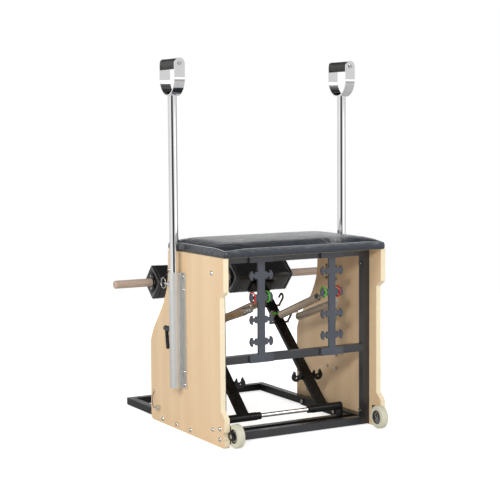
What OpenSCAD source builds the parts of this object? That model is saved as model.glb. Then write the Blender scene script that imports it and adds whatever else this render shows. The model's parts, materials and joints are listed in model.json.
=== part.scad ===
// Pilates chair with two sprung pedals, spring trees and height-adjustable poles.
// Millimetres, +Z up, +Y from the spring trees towards the pedals, X = 0 halfway across.
// Places along Y are measured from the front edge of the side panels, then centred.

/* [Side panels] */
// Width over both side panels
outer_w = 610; // [560:1:660]
// Thickness of a side panel
panel_t = 18; // [12:1:24]
// Height of a side panel
panel_h = 600; // [560:1:640]
// Depth of a side panel at its foot
panel_depth = 535; // [500:1:570]
// Depth of a side panel under the seat
panel_top_depth = 393; // [370:1:410]
// Height at which the rear edge starts to curve forward
sweep_low = 257; // [220:1:300]
// Height at which the rear edge is upright again
sweep_high = 520; // [480:1:550]
// How far the front edge is set back between its ends
recess = 25.5; // [5:0.5:30]
// Height of the recess above the floor
recess_low = 117; // [100:1:140]
// Top of the recess
recess_high = 474; // [440:1:500]

/* [Seat] */
// Width of the upholstered seat
seat_w = 606; // [560:1:640]
// Depth of the upholstered seat
seat_d = 410; // [380:1:430]
// How far the seat overhangs the panels' front edge
seat_overhang = 9; // [0:1:20]
// Thickness of the seat at its seam
seat_side_h = 30; // [24:1:40]
// Height of the crown above the seam
seat_crown = 11; // [4:1:20]
// Thickness of the seat board
board_t = 15; // [10:1:18]
// How far the board's edge lies inside the cover
board_inset = 7; // [4:1:12]

/* [Steel frame] */
// Section of the square frame tube
tube = 25; // [20:1:28]
// Wall of the frame tube
tube_wall = 2; // [1:0.5:3]
// Front of the frame behind the panels' front edge
frame_y = 67; // [60:1:75]
// Underside of the middle rail
mid_rail_z = 252; // [230:1:280]
// Clearance of the bottom rail above the floor
low_rail_z = 3; // [1:1:8]

/* [Spring trees] */
// Distance of a tree's column from the middle of the chair
tree_x = 134.5; // [125:0.5:145]
// Width of a tree's column
tree_w = 25; // [20:1:28]
// Thickness of the tree plate
tree_t = 8; // [6:1:10]
// Width of the flange at each end of a tree
tree_flange_w = 86; // [70:1:100]
// Height of the top pair of hooks
hook_top_z = 533; // [520:1:540]
// Distance between pairs of hooks
hook_pitch = 71.3; // [60:0.1:75]
// Distance of a hook's tip from the column's centre
hook_reach = 42.5; // [38:0.5:46]
// Height of a hook's head
hook_head_h = 29; // [24:1:34]
// Height of the neck behind the head
hook_neck_h = 12; // [8:1:14]

/* [Base] */
// Section of the base's side rails
rail = 30; // [29:1:34]
// Wall of the side rails
rail_wall = 2.2; // [1.5:0.1:3]
// Rear end of the side rails
rail_end_y = 462; // [455:1:500]
// Rear face of the stabiliser's crossbar
stabiliser_y = 787; // [740:1:820]
// Front face of the tube under the pedal axle
cross_y = 134.5; // [125:0.5:137]

/* [Pedal axle] */
// Distance of the axle behind the panels' front edge
axle_y = 147; // [140:1:150]
// Height of the axle
axle_z = 57; // [52:1:62]
// Diameter of the axle
axle_d = 15; // [12:1:18]
// Outer diameter of a pedal's hub
hub_d = 27; // [24:1:32]
// Length of a pedal's hub
hub_l = 105.4; // [90:0.1:106]
// Length of a shaft collar
collar_l = 15; // [10:1:18]
// Thickness of a bearing plate
bearing_t = 10; // [6:1:12]

/* [Pedals] */
// Distance of a pedal's centre from the middle of the chair
pedal_x = 153; // [150:0.5:156]
// Slope of the pedal arms at rest
arm_slope = 41.9; // [41.9:0.1:43]
// Distance from the axle to the middle of the pedal pad
arm_reach = 605; // [590:1:615]
// Width of a pedal arm
arm_w = 38; // [34:1:40]
// Thickness of a pedal arm
arm_t = 12.6; // [10:0.2:16]
// Wall of a pedal arm
arm_wall = 2; // [1.5:0.5:3]
// Length of a pedal pad
pad_l = 234; // [210:1:236]
// Side of a pedal pad's square section
pad_side = 92; // [86:1:94]
// Height of the pad's centre over the arm's centre line
pad_lift = 9; // [4:1:14]
// Side of the wooden core inside a pad
core_side = 72; // [66:1:76]
// Diameter of the wooden dowel
dowel_d = 28; // [24:1:32]
// Distance of the dowel's tip from the middle of the chair
dowel_tip_x = 414; // [390:1:430]

/* [Springs] */
// Diameter of the fabric sleeve
sleeve_d = 28; // [27:0.5:30]
// Wall of the fabric sleeve
sleeve_wall = 1.6; // [1:0.1:1.7]
// Outer diameter of the spring
spring_d = 23; // [20:0.5:23]
// Diameter of the spring wire
wire_d = 3; // [2:0.1:3.4]
// Length of bare coils in front of the sleeve
bare_l = 44; // [30:1:50]
// Distance between bare coils
bare_pitch = 6.8; // [5:0.1:9]
// Outer diameter of a coloured ring
ring_d = 39; // [38.6:0.2:41]
// Wire diameter of a coloured ring
ring_wire = 4.6; // [3.6:0.1:4.8]

/* [Poles] */
// Distance of a pole from the panels' front edge
pole_y = 297; // [290:1:304]
// Diameter of a pole
pole_d = 30; // [26:1:30]
// Wall of a pole
pole_wall = 2; // [1.5:0.5:3]
// Lower end of a pole
pole_low_z = 325; // [315:1:330]
// Underside of the handle's band
pole_top_z = 1107; // [1000:1:1150]
// Outer diameter of a pole socket
socket_d = 38; // [37:1:42]
// Lower end of a pole socket
socket_low_z = 150; // [140:1:155]
// Upper end of a pole socket
socket_high_z = 532; // [525:1:550]
// Width of a socket's flange
socket_w = 86; // [80:1:96]
// Thickness of a socket's flange
socket_t = 4; // [3:0.5:6]

/* [Handles] */
// Width of a handle over its band
handle_w = 112; // [96:1:120]
// Height of the grip's axis above the band's underside
handle_h = 103; // [90:1:115]
// Width of the handle's band
band_w = 37; // [32:1:42]
// Thickness of the handle's band
band_t = 4; // [3:0.5:5]
// Diameter of the grip
grip_d = 34; // [28:1:36]

/* [Wheels] */
// Diameter of a transport wheel
wheel_d = 76; // [64:1:80]
// Width of a transport wheel
wheel_w = 24; // [20:1:24]
// How far the wheel's axle lies in front of the panels
wheel_y = 15.5; // [12:0.5:20]
// Height of the wheel's axle
wheel_z = 41.7; // [41.7:0.1:46]

/* [Hidden] */
$fn = 64;

// Gap between pieces that only touch
seat_gap = 0.3;
// Radial clearance of a shaft in its bore
run_gap = 0.05;
// Overshoot of a cut past the face that it opens
cut = 1;

// Panel planes
inner_x = outer_w / 2 - panel_t;
panel_outer_x = outer_w / 2;
// Middle of the whole chair along Y
wheel_front_y = -wheel_y - wheel_d / 2;
mid_y = (wheel_front_y + stabiliser_y) / 2;
// Middle of the frame tubes along Y
post_y = frame_y + tube / 2;

// Bolts: shank diameter, head diameter, head height, nut width
m8 = [8, 15, 5, 13];
m6 = [6, 12, 4, 10];
hole_gap = 0.2;
// Bolt places on a side panel: [y, z]
base_bolt_ys = [238, 341, 446];
rail_bolt_z = rail / 2;
frame_bolt_zs = [48, 548];
bracket_bolt_y = 33;
bracket_bolt_zs = [25, 58];
socket_bolt_dy = 28;
socket_bolt_zs = [161, 206, 476, 519];
// Hole for the lock pin and screw for its lanyard: [y, z]
lock_hole = [469, 50];
lock_screw = [512, 100];
eyelet = [384, 531];

colour_wood = [0.9, 0.78, 0.6];
colour_vinyl = [0.1, 0.1, 0.11];
colour_slate = [0.37, 0.38, 0.43];
colour_black = [0.12, 0.12, 0.12];
colour_chrome = [0.85, 0.86, 0.88];
colour_satin = [0.75, 0.77, 0.78];
colour_ivory = [0.9, 0.88, 0.76];
colour_sleeve = [0.58, 0.5, 0.4];
colour_dowel = [0.66, 0.56, 0.5];
colour_green = [0.35, 0.72, 0.15];
colour_red = [0.75, 0.08, 0.08];

// Unit vector along v
function unit(v) = v / norm(v);

// Part of v that is square to t, as a unit vector
function square_to(v, t) = unit(v - (v * t) * t);

// Direction of a path at point i
function heading(p, i) = unit(p[min(i + 1, len(p) - 1)] - p[max(i - 1, 0)]);

// Side vectors carried along a path without twist
function sides_along(p, start) = [
    for (i = 0, n = square_to(start, heading(p, 0)); i < len(p);
        n = i + 1 < len(p) ? square_to(n, heading(p, i + 1)) : n, i = i + 1) n
];

// Rings of a round tube of radius r along a path
function tube_rings(p, r, sides, start) = let (n = sides_along(p, start)) [
    for (i = [0 : len(p) - 1]) let (b = cross(heading(p, i), n[i])) [
        for (j = [0 : sides - 1]) p[i] + r * (cos(360 * j / sides) * n[i] + sin(360 * j / sides) * b)
    ]
];

// Triangles of m stacked rings of n points, each end closed round a middle point
function skin_faces(m, n) = concat(
    [for (i = [0 : m - 2], j = [0 : n - 1]) [i * n + j, (i + 1) * n + j, (i + 1) * n + (j + 1) % n]],
    [for (i = [0 : m - 2], j = [0 : n - 1]) [i * n + j, (i + 1) * n + (j + 1) % n, i * n + (j + 1) % n]],
    [for (j = [0 : n - 1]) [m * n, j, (j + 1) % n]],
    [for (j = [0 : n - 1]) [m * n + 1, (m - 1) * n + (j + 1) % n, (m - 1) * n + j]]
);

// Sum of a ring's points from the k-th on, and their middle
function total(ring, k = 0) = k == len(ring) - 1 ? ring[k] : ring[k] + total(ring, k + 1);
function middle(ring) = total(ring) / len(ring);

// Closed solid over stacked rings, each wound right-handed about the stacking direction
module skin(rings) {
    ends = [middle(rings[0]), middle(rings[len(rings) - 1])];
    polyhedron(
        points = concat([for (ring = rings) each ring], ends),
        faces = skin_faces(len(rings), len(rings[0])),
        convexity = 8
    );
}

// Box between two corners
module block(a, b) {
    translate(a) cube(b - a);
}

// Round bar along X from x0 to x1 through [y, z]
module bar_x(x0, x1, y, z, d) {
    translate([x0, y, z]) rotate([0, 90, 0]) cylinder(h = x1 - x0, d = d);
}

// Round bar along Y from y0 to y1 through [x, z]
module bar_y(y0, y1, x, z, d) {
    translate([x, y0, z]) rotate([-90, 0, 0]) cylinder(h = y1 - y0, d = d);
}

// Hexagonal nut along X from x0 to x1
module nut_x(x0, x1, y, z, w) {
    translate([x0, y, z]) rotate([0, 90, 0]) cylinder(h = x1 - x0, d = w / cos(30), $fn = 6);
}

// Domed bolt head on the plane x = 0, rising towards +X
module dome(d, h) {
    r = (d * d / 4 + h * h) / (2 * h);
    rotate([0, 90, 0]) intersection() {
        translate([0, 0, h - r]) sphere(r = r);
        cylinder(h = h, d = d);
    }
}

// Bolt along +X: domed head outside x1, shank to x0, nut of height nut_h before x2
module bolt_x(x0, x1, x2, y, z, size, nut_h) {
    bar_x(x0, x1, y, z, size[0]);
    translate([x1, y, z]) dome(size[1], size[2]);
    nut_x(x2 - nut_h, x2, y, z, size[3]);
}

// The same thing on the left (side -1) or right (side 1)
module on_side(side) {
    mirror([side < 0 ? 1 : 0, 0, 0]) children();
}

// Moves from the panels' front edge to the middle of the chair
module placed() {
    translate([0, -mid_y, 0]) children();
}

// Rear edge of a side panel as a smooth S between two upright stretches
sweep_pull_low = 80;
sweep_pull_high = 120;
function sweep(t) =
    pow(1 - t, 3) * [panel_depth, sweep_low]
    + 3 * pow(1 - t, 2) * t * [panel_depth, sweep_low + sweep_pull_low]
    + 3 * (1 - t) * t * t * [panel_top_depth, sweep_high - sweep_pull_high]
    + t * t * t * [panel_top_depth, sweep_high];

// Quarter circle in four steps from angle a about a centre
function corner(c, r, a) = [for (k = [0 : 4]) c + r * [cos(a + 22.5 * k), sin(a + 22.5 * k)]];

foot_r = 12;
chamfer_low = 23;
chamfer_high = 20;
sweep_steps = 28;

// Outline of a side panel in [y, z]
panel_outline = concat(
    corner([foot_r, foot_r], foot_r, 180),
    corner([panel_depth - foot_r, foot_r], foot_r, 270),
    [for (k = [0 : sweep_steps]) sweep(k / sweep_steps)],
    [
        [panel_top_depth - 5, panel_h], [0, panel_h],
        [0, recess_high + chamfer_high], [recess, recess_high],
        [recess, recess_low], [0, recess_low - chamfer_low]
    ]
);

notch_z = 40;
notch_r = 13;

module side_panel() {
    color(colour_wood) difference() {
        translate([inner_x, 0, 0]) rotate([90, 0, 90]) linear_extrude(panel_t) polygon(panel_outline);
        bar_x(inner_x - cut, panel_outer_x + cut, 0, notch_z, 2 * notch_r);
        for (y = base_bolt_ys) panel_hole(y, rail_bolt_z, m8[0]);
        for (z = frame_bolt_zs) panel_hole(post_y, z, m8[0]);
        for (z = bracket_bolt_zs) panel_hole(bracket_bolt_y, z, m8[0]);
        for (s = [-1, 1], z = socket_bolt_zs) panel_hole(pole_y + s * socket_bolt_dy, z, m6[0]);
        panel_hole(lock_hole[0], lock_hole[1], lock_pin_d);
    }
}

module panel_hole(y, z, d) {
    bar_x(inner_x - cut, panel_outer_x + cut, y, z, d + 2 * hole_gap);
}

// Seat

module seat_board() {
    color(colour_wood) block(
        [-seat_w / 2 + board_inset, -seat_overhang + board_inset, panel_h],
        [seat_w / 2 - board_inset, seat_d - seat_overhang - board_inset, panel_h + board_t]
    );
}

// Side of the cushion from its underside to the sewn channel: [inset, share of the side's height]
seat_side_profile = [[3.5, 0.01], [1, 0.12], [0, 0.4], [0.2, 0.75], [1.2, 0.93], [3, 1]];
// Top from the channel to the middle: [inset, share of the crown]
channel_lip = 2;
seat_top_profile = [[1.4, 0.15], [3, 0.34], [7, 0.55], [15, 0.74], [34, 0.88], [70, 0.96], [120, 0.995], [180, 1]];
seat_mid_y = seat_d / 2 - seat_overhang;
// The seam and the crown are pulled down at the corners
seat_corner_r = 12;
corner_drop = 6;
corner_pull = 0.5;
side_steps = [0, 0.45, 0.7, 0.85, 0.94];

// Points round a rectangle with half sizes a and b: [x, y, nearness to a corner]
function quarter_points(a, b, r) = concat(
    [for (f = side_steps) [a, f * (b - r), pow(f, 8)]],
    [for (k = [0 : 4]) [a - r + r * cos(22.5 * k), b - r + r * sin(22.5 * k), 1]],
    [for (k = [4 : -1 : 1]) [side_steps[k] * (a - r), b, pow(side_steps[k], 8)]]
);
function turned(p, k) = k == 0 ? p : turned([-p[1], p[0], p[2]], k - 1);
function seat_outline(a, b) = [
    for (k = [0 : 3]) each [
        for (p = k % 2 == 0 ? quarter_points(a, b, seat_corner_r) : quarter_points(b, a, seat_corner_r)) turned(p, k)
    ]
];

// Ring at an inset: side is the share of the side's height, crown the height over the seam
function seat_ring(inset, side, crown) = [
    for (p = seat_outline(seat_w / 2 - inset, seat_d / 2 - inset)) [
        p[0],
        p[1] + seat_mid_y,
        panel_h + max(seat_gap, side * (seat_side_h - corner_drop * p[2])) + crown * (1 - corner_pull * p[2])
    ]
];

module seat_cushion() {
    color(colour_vinyl) difference() {
        skin(concat(
            [for (q = seat_side_profile) seat_ring(q[0], q[1], 0)],
            [for (q = seat_top_profile) seat_ring(q[0], 1, channel_lip + q[1] * (seat_crown - channel_lip))]
        ));
        block(
            [-seat_w / 2 + board_inset - seat_gap, -seat_overhang + board_inset - seat_gap, panel_h - cut],
            [
                seat_w / 2 - board_inset + seat_gap,
                seat_d - seat_overhang - board_inset + seat_gap,
                panel_h + board_t + seat_gap
            ]
        );
    }
}

// Steel frame between the panels

module square_tube_x(x0, x1, y, z, size, wall) {
    difference() {
        block([x0, y, z], [x1, y + size, z + size]);
        block([x0 - cut, y + wall, z + wall], [x1 + cut, y + size - wall, z + size - wall]);
    }
}

module steel_frame() {
    color(colour_slate) {
        difference() {
            for (s = [-1, 1]) on_side(s) difference() {
                block([inner_x - tube, frame_y, low_rail_z], [inner_x, frame_y + tube, panel_h]);
                block(
                    [inner_x - tube + tube_wall, frame_y + tube_wall, low_rail_z - cut],
                    [inner_x - tube_wall, frame_y + tube - tube_wall, panel_h - tube_wall]
                );
            }
            for (s = [-1, 1], z = frame_bolt_zs) on_side(s)
                bar_x(inner_x - tube - cut, inner_x + cut, post_y, z, m8[0] + 2 * hole_gap);
        }
        for (z = [low_rail_z, mid_rail_z, panel_h - tube])
            square_tube_x(-inner_x + tube, inner_x - tube, frame_y, z, tube, tube_wall);
    }
}

// Spring tree: a column with pairs of hooks, flat against the rails

hook_shoulder = 22;
hook_shoulder_h = 22;
hook_head_w = 10.5;
hook_arc_r = 20.5;

module hook_pair() {
    for (s = [0, 1]) mirror([s, 0]) {
        translate([0, -hook_shoulder_h / 2]) square([hook_shoulder, hook_shoulder_h]);
        translate([0, -hook_neck_h / 2]) square([hook_reach - hook_head_w + 1, hook_neck_h]);
        intersection() {
            translate([hook_reach - hook_arc_r, 0]) circle(r = hook_arc_r);
            translate([hook_reach - hook_head_w, -hook_head_h / 2]) square([hook_head_w, hook_head_h]);
        }
    }
}

module spring_tree(side) {
    color(colour_slate) translate([side * tree_x, frame_y, 0]) rotate([90, 0, 0]) linear_extrude(tree_t) {
        translate([-tree_w / 2, mid_rail_z]) square([tree_w, panel_h - mid_rail_z]);
        for (z = [mid_rail_z, panel_h - tube])
            translate([-tree_flange_w / 2, z]) square([tree_flange_w, tube]);
        for (k = [0 : 3]) translate([0, hook_top_z - k * hook_pitch]) hook_pair();
    }
}

// Base: side rails along the panels, a cross tube and a U-shaped stabiliser

leg_size = rail - 2 * rail_wall - 2 * seat_gap;
leg_x = inner_x - rail_wall - seat_gap - leg_size;
leg_z = rail_wall + seat_gap;
rail_start_y = frame_y + tube;

module base_frame() {
    color(colour_black) {
        for (s = [-1, 1]) on_side(s) difference() {
            block([inner_x - rail, rail_start_y, 0], [inner_x, rail_end_y, rail]);
            block(
                [inner_x - rail + rail_wall, rail_start_y + rail_wall, rail_wall],
                [inner_x - rail_wall, rail_end_y + cut, rail - rail_wall]
            );
            for (y = base_bolt_ys)
                bar_x(inner_x - rail - cut, inner_x + cut, y, rail_bolt_z, m8[0] + 2 * hole_gap);
        }
        square_tube_x(-inner_x + rail, inner_x - rail, cross_y, 0, tube, tube_wall);
    }
}

// Each leg starts this far in front of its first bolt
leg_lead = 30;

module stabiliser() {
    leg_start_y = base_bolt_ys[0] - leg_lead;
    wall = tube_wall;
    color(colour_black) difference() {
        union() {
            for (s = [-1, 1]) on_side(s)
                block([leg_x, leg_start_y, leg_z], [leg_x + leg_size, stabiliser_y, leg_z + leg_size]);
            block([-leg_x, stabiliser_y - leg_size, leg_z], [leg_x, stabiliser_y, leg_z + leg_size]);
        }
        for (s = [-1, 1]) on_side(s) {
            block(
                [leg_x + wall, leg_start_y - cut, leg_z + wall],
                [leg_x + leg_size - wall, stabiliser_y - wall, leg_z + leg_size - wall]
            );
            for (y = base_bolt_ys) bar_x(leg_x - cut, inner_x, y, rail_bolt_z, m8[0] + 2 * hole_gap);
        }
        block(
            [-leg_x - leg_size + wall, stabiliser_y - leg_size + wall, leg_z + wall],
            [leg_x + leg_size - wall, stabiliser_y - wall, leg_z + leg_size - wall]
        );
    }
}

// Pedal axle, its bearing plates and collars

bearing_x = pedal_x + hub_l / 2 + collar_l / 2 + 0.3;
collar_x = pedal_x - hub_l / 2 + collar_l / 2 - 0.3;
bearing_r = 14;

module pivot_brackets() {
    color(colour_black) for (s = [-1, 1]) on_side(s) difference() {
        union() {
            block([bearing_x, axle_y - bearing_r, tube], [bearing_x + bearing_t, axle_y + bearing_r, axle_z]);
            bar_x(bearing_x, bearing_x + bearing_t, axle_y, axle_z, 2 * bearing_r);
        }
        bar_x(bearing_x - cut, bearing_x + bearing_t + cut, axle_y, axle_z, axle_d + 2 * run_gap);
    }
}

module pivot_axle() {
    color(colour_chrome) bar_x(-bearing_x - bearing_t, bearing_x + bearing_t, axle_y, axle_z, axle_d);
}

module shaft_collars() {
    color(colour_black) for (s = [-1, 1]) on_side(s) difference() {
        bar_x(collar_x - collar_l, collar_x, axle_y, axle_z, hub_d - 2);
        bar_x(collar_x - collar_l - cut, collar_x + cut, axle_y, axle_z, axle_d + 2 * run_gap);
    }
}

// Pole sockets and poles

// A pole stands clear of the panel's socket plate and of the cushion
pole_seat_gap = 9;
pole_x = max(panel_outer_x + socket_t + socket_d / 2 - 1, seat_w / 2 + pole_seat_gap + pole_d / 2);
clamp_z = 340;
height_pin_z = 490;
height_pin_d = 8;
clamp_stud_d = 10;
web_w = 22;

module pole_socket() {
    color(colour_satin) difference() {
        union() {
            block(
                [panel_outer_x, pole_y - socket_w / 2, socket_low_z],
                [panel_outer_x + socket_t, pole_y + socket_w / 2, socket_high_z]
            );
            block([panel_outer_x, pole_y - web_w / 2, socket_low_z], [pole_x, pole_y + web_w / 2, socket_high_z]);
            translate([pole_x, pole_y, socket_low_z]) cylinder(h = socket_high_z - socket_low_z, d = socket_d);
        }
        translate([pole_x, pole_y, socket_low_z - cut])
            cylinder(h = socket_high_z - socket_low_z + 2 * cut, d = pole_d + 2 * run_gap);
        for (s = [-1, 1], z = socket_bolt_zs)
            bar_x(panel_outer_x - cut, panel_outer_x + socket_t + cut, pole_y + s * socket_bolt_dy, z,
                m6[0] + 2 * hole_gap);
        bar_y(pole_y, pole_y + socket_d, pole_x, height_pin_z, height_pin_d + 2 * run_gap);
        bar_y(pole_y, pole_y + socket_d, pole_x, clamp_z, clamp_stud_d + 2 * run_gap);
    }
}

module socket_bolts() {
    color(colour_satin) for (side = [-1, 1]) on_side(side)
        for (s = [-1, 1], z = socket_bolt_zs) bolt_x(
            inner_x - 7, panel_outer_x + socket_t, inner_x, pole_y + s * socket_bolt_dy, z, m6, 5
        );
}

side_hole_z = 638;
height_step = 55;

module pole() {
    color(colour_chrome) difference() {
        translate([pole_x, pole_y, pole_low_z]) cylinder(h = pole_top_z + handle_w / 4 - pole_low_z, d = pole_d);
        translate([pole_x, pole_y, pole_low_z - cut])
            cylinder(h = pole_top_z - 5 - pole_low_z, d = pole_d - 2 * pole_wall);
        translate([pole_x, pole_y, 0]) handle_solid(0, handle_w + 4 * grip_d);
        bar_x(pole_x - pole_d, pole_x, pole_y, side_hole_z, height_pin_d);
        for (k = [0 : 3]) bar_y(pole_y, pole_y + pole_d, pole_x, height_pin_z + k * height_step, height_pin_d);
    }
}

// Solid U of the handle, less inset all round, w wide, about the pole's axis
handle_curve_h = 58;
module handle_solid(inset, w) {
    a = handle_w / 2 - inset;
    b = handle_curve_h - inset;
    z = pole_top_z + handle_curve_h;
    translate([w / 2, 0, 0]) rotate([90, 0, -90]) linear_extrude(w) {
        translate([0, z]) intersection() {
            scale([a / b, 1]) circle(r = b, $fn = 96);
            translate([-a - 1, -b - 1]) square([2 * a + 2, b + 1]);
        }
        translate([-a, z]) square([2 * a, handle_h]);
    }
}

grip_z = pole_top_z + handle_h;

// Outline of the band seen along the grip: straight sides with a round top
module band_face() {
    translate([-band_w / 2, pole_top_z - cut]) square([band_w, handle_h + cut]);
    translate([0, grip_z]) circle(d = band_w);
}

module handle_band() {
    color(colour_chrome) translate([pole_x, pole_y, 0]) difference() {
        intersection() {
            handle_solid(0, band_w);
            translate([0, handle_w / 2 + cut, 0]) rotate([90, 0, 0]) linear_extrude(handle_w + 2 * cut) band_face();
        }
        handle_solid(band_t, band_w + 2 * cut);
        bar_y(-handle_w, handle_w, 0, grip_z, m8[0] + 2 * hole_gap);
    }
}

grip_l = handle_w - 2 * band_t - 2 * seat_gap;

module handle_grip() {
    color(colour_black) translate([pole_x, pole_y, 0]) difference() {
        bar_y(-grip_l / 2, grip_l / 2, 0, grip_z, grip_d);
        bar_y(-grip_l / 2 - cut, grip_l / 2 + cut, 0, grip_z, m8[0] + 2 * hole_gap);
    }
}

module handle_bolts() {
    head_h = 3;
    head_d = 13;
    socket_key = 6;
    color(colour_satin) translate([pole_x, pole_y, 0]) difference() {
        union() {
            bar_y(-handle_w / 2, handle_w / 2, 0, grip_z, m8[0]);
            bar_y(-handle_w / 2 - head_h, -handle_w / 2, 0, grip_z, head_d);
            bar_y(handle_w / 2, handle_w / 2 + head_h, 0, grip_z, head_d);
        }
        translate([0, -handle_w / 2 - head_h - cut, grip_z]) rotate([-90, 0, 0])
            cylinder(h = head_h, d = socket_key, $fn = 6);
    }
}

// Clamping lever on the rear of each socket

lever_hub_d = 18;
lever_hub_l = 52;
lever_l = 70;
lever_d = 12;

module clamp_lever() {
    y0 = pole_y + socket_d / 2 + seat_gap;
    stud_y = pole_y + pole_d / 2 + seat_gap;
    color(colour_black) {
        bar_y(stud_y, y0, pole_x, clamp_z, clamp_stud_d);
        bar_y(y0, y0 + lever_hub_l, pole_x, clamp_z, lever_hub_d);
        translate([pole_x, y0 + lever_hub_l - lever_d / 2, clamp_z]) rotate([-8, 0, 0]) mirror([0, 0, 1]) {
            cylinder(h = lever_l - lever_d / 2, d = lever_d);
            translate([0, 0, lever_l - lever_d / 2]) sphere(d = lever_d);
        }
    }
}

// Pull pin for the pole's height, with its ring

pull_ring_d = 38;
pin_l = 52;
pull_wire = 3;

module height_pin() {
    y0 = pole_y + socket_d / 2 + seat_gap;
    stud_y = pole_y + pole_d / 2 + seat_gap;
    y1 = y0 + pin_l;
    color(colour_chrome) {
        bar_y(stud_y, y0, pole_x, height_pin_z, height_pin_d);
        bar_y(y0, y0 + 22, pole_x, height_pin_z, 16);
        difference() {
            bar_y(y0 + 22, y1, pole_x, height_pin_z, 9);
            bar_x(pole_x - 9, pole_x + 9, y1 - 5, height_pin_z, pull_wire + 1);
        }
        translate([pole_x, y1 - 5 + pull_ring_d / 2 - pull_wire / 2 - 0.5, height_pin_z]) rotate([0, 90, 0])
            rotate_extrude() translate([pull_ring_d / 2 - pull_wire / 2, 0]) circle(d = pull_wire, $fn = 16);
    }
}

// Lock pin parked in each panel, with a knob outside

lock_pin_d = 8;
lock_head_d = 17;
lock_head_l = 12;

module lock_pin() {
    color(colour_black) {
        bar_x(inner_x - 4, panel_outer_x + seat_gap, lock_hole[0], lock_hole[1], lock_pin_d);
        bar_x(panel_outer_x + seat_gap, panel_outer_x + lock_head_l, lock_hole[0], lock_hole[1], lock_head_d);
    }
}

// Short lanyards: screw on the panel, then a thin cable to the pin's head

cable_d = 2.4;
lock_cable = [
    [314, 477.8, 50], [316, 486, 48], [317, 496, 51], [315, 505, 62], [312, 511, 76], [309, 512.5, 89], [307, 512, 96]
];
height_cable = [
    [306.5, 384, 527], [310, 386, 521], [316, 388, 515], [321, 386, 511.5], [pole_x - 1, 381, 510.5]
];

module cable(route) {
    skin(tube_rings(route, cable_d / 2, 6, [0, 1, 0]));
}

module pin_lanyards() {
    color(colour_black) for (s = [-1, 1]) on_side(s) {
        translate([panel_outer_x, lock_screw[0], lock_screw[1]]) dome(11, 5);
        cable(lock_cable);
        translate([panel_outer_x, eyelet[0], eyelet[1]]) dome(13, 4);
        cable(height_cable);
    }
}

// Fasteners through the panels

module panel_bolts() {
    color(colour_satin) for (s = [-1, 1]) on_side(s) {
        for (y = base_bolt_ys)
            bolt_x(inner_x - rail - 7, panel_outer_x, inner_x - rail, y, rail_bolt_z, m8, 6);
        for (z = frame_bolt_zs)
            bolt_x(inner_x - tube - 7, panel_outer_x, inner_x - tube, post_y, z, m8, 6);
        for (z = bracket_bolt_zs)
            bolt_x(wheel_plate_x - 6, panel_outer_x, wheel_plate_x, bracket_bolt_y, z, m8, 5);
        bar_x(wheel_in_x - 8, inner_x, -wheel_y, wheel_z, wheel_axle_d);
        nut_x(inner_x, inner_x + 5, -wheel_y, wheel_z, m8[3]);
        nut_x(wheel_in_x - 7, wheel_in_x - 0.6, -wheel_y, wheel_z, m8[3]);
    }
}

// Transport wheels

wheel_plate_t = 3.5;
wheel_plate_x = inner_x - wheel_plate_t;
wheel_out_x = wheel_plate_x - 0.6;
wheel_in_x = wheel_out_x - wheel_w;
wheel_axle_d = 8;
core_d = 46;
core_groove = 3;

wheel_plate_low_z = 14;
wheel_plate_high_z = 70;
wheel_plate_end = 12;
wheel_boss_d = 28;

module wheel_brackets() {
    color(colour_black) for (s = [-1, 1]) on_side(s) difference() {
        union() {
            block([wheel_plate_x, 0, wheel_plate_low_z], [inner_x, bracket_bolt_y + wheel_plate_end, wheel_plate_high_z]);
            block([wheel_plate_x, -wheel_y, wheel_z - wheel_boss_d / 2], [inner_x, 1, wheel_z + wheel_boss_d / 2]);
            bar_x(wheel_plate_x, inner_x, -wheel_y, wheel_z, wheel_boss_d);
        }
        bar_x(wheel_plate_x - cut, inner_x + cut, -wheel_y, wheel_z, wheel_axle_d + 2 * run_gap);
        for (z = bracket_bolt_zs)
            bar_x(wheel_plate_x - cut, inner_x + cut, bracket_bolt_y, z, m8[0] + 2 * hole_gap);
    }
}

wheel_round = 5;
module wheel_tyre() {
    color(colour_ivory) translate([wheel_in_x, -wheel_y, wheel_z]) rotate([0, 90, 0]) rotate_extrude() {
        translate([core_d / 2, 0]) square([wheel_d / 2 - core_d / 2 - wheel_round, wheel_w]);
        translate([core_d / 2, wheel_round]) square([wheel_d / 2 - core_d / 2, wheel_w - 2 * wheel_round]);
        for (x = [wheel_round, wheel_w - wheel_round])
            translate([wheel_d / 2 - wheel_round, x]) circle(r = wheel_round, $fn = 32);
    }
}

// Core with a recess on each side round two bearings
bearing_d = 22;
module wheel_core() {
    color(colour_black) translate([wheel_in_x, -wheel_y, wheel_z]) rotate([0, 90, 0]) rotate_extrude() {
        difference() {
            translate([wheel_axle_d / 2 + run_gap, 0]) square([core_d / 2 - wheel_axle_d / 2 - run_gap, wheel_w]);
            for (x = [-cut, wheel_w - core_groove])
                translate([bearing_d / 2, x]) square([(core_d - bearing_d) / 2 - 3, core_groove + cut]);
        }
    }
}

// Pedals: everything is drawn along the arm, then tilted to the arm's slope about the axle

module on_arm() {
    translate([0, axle_y, axle_z]) rotate([arm_slope, 0, 0]) children();
}

// Place along the arm and above its centre line, as [x, y, z] in the chair
function arm_point(x, along, over) = [
    x,
    axle_y + along * cos(arm_slope) - over * sin(arm_slope),
    axle_z + along * sin(arm_slope) + over * cos(arm_slope)
];

mount_t = 5;
arm_end = arm_reach - pad_side / 2 - mount_t - seat_gap;
mount_w = 90;
mount_h = 50;
mount_bolts = [33, 17];

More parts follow.
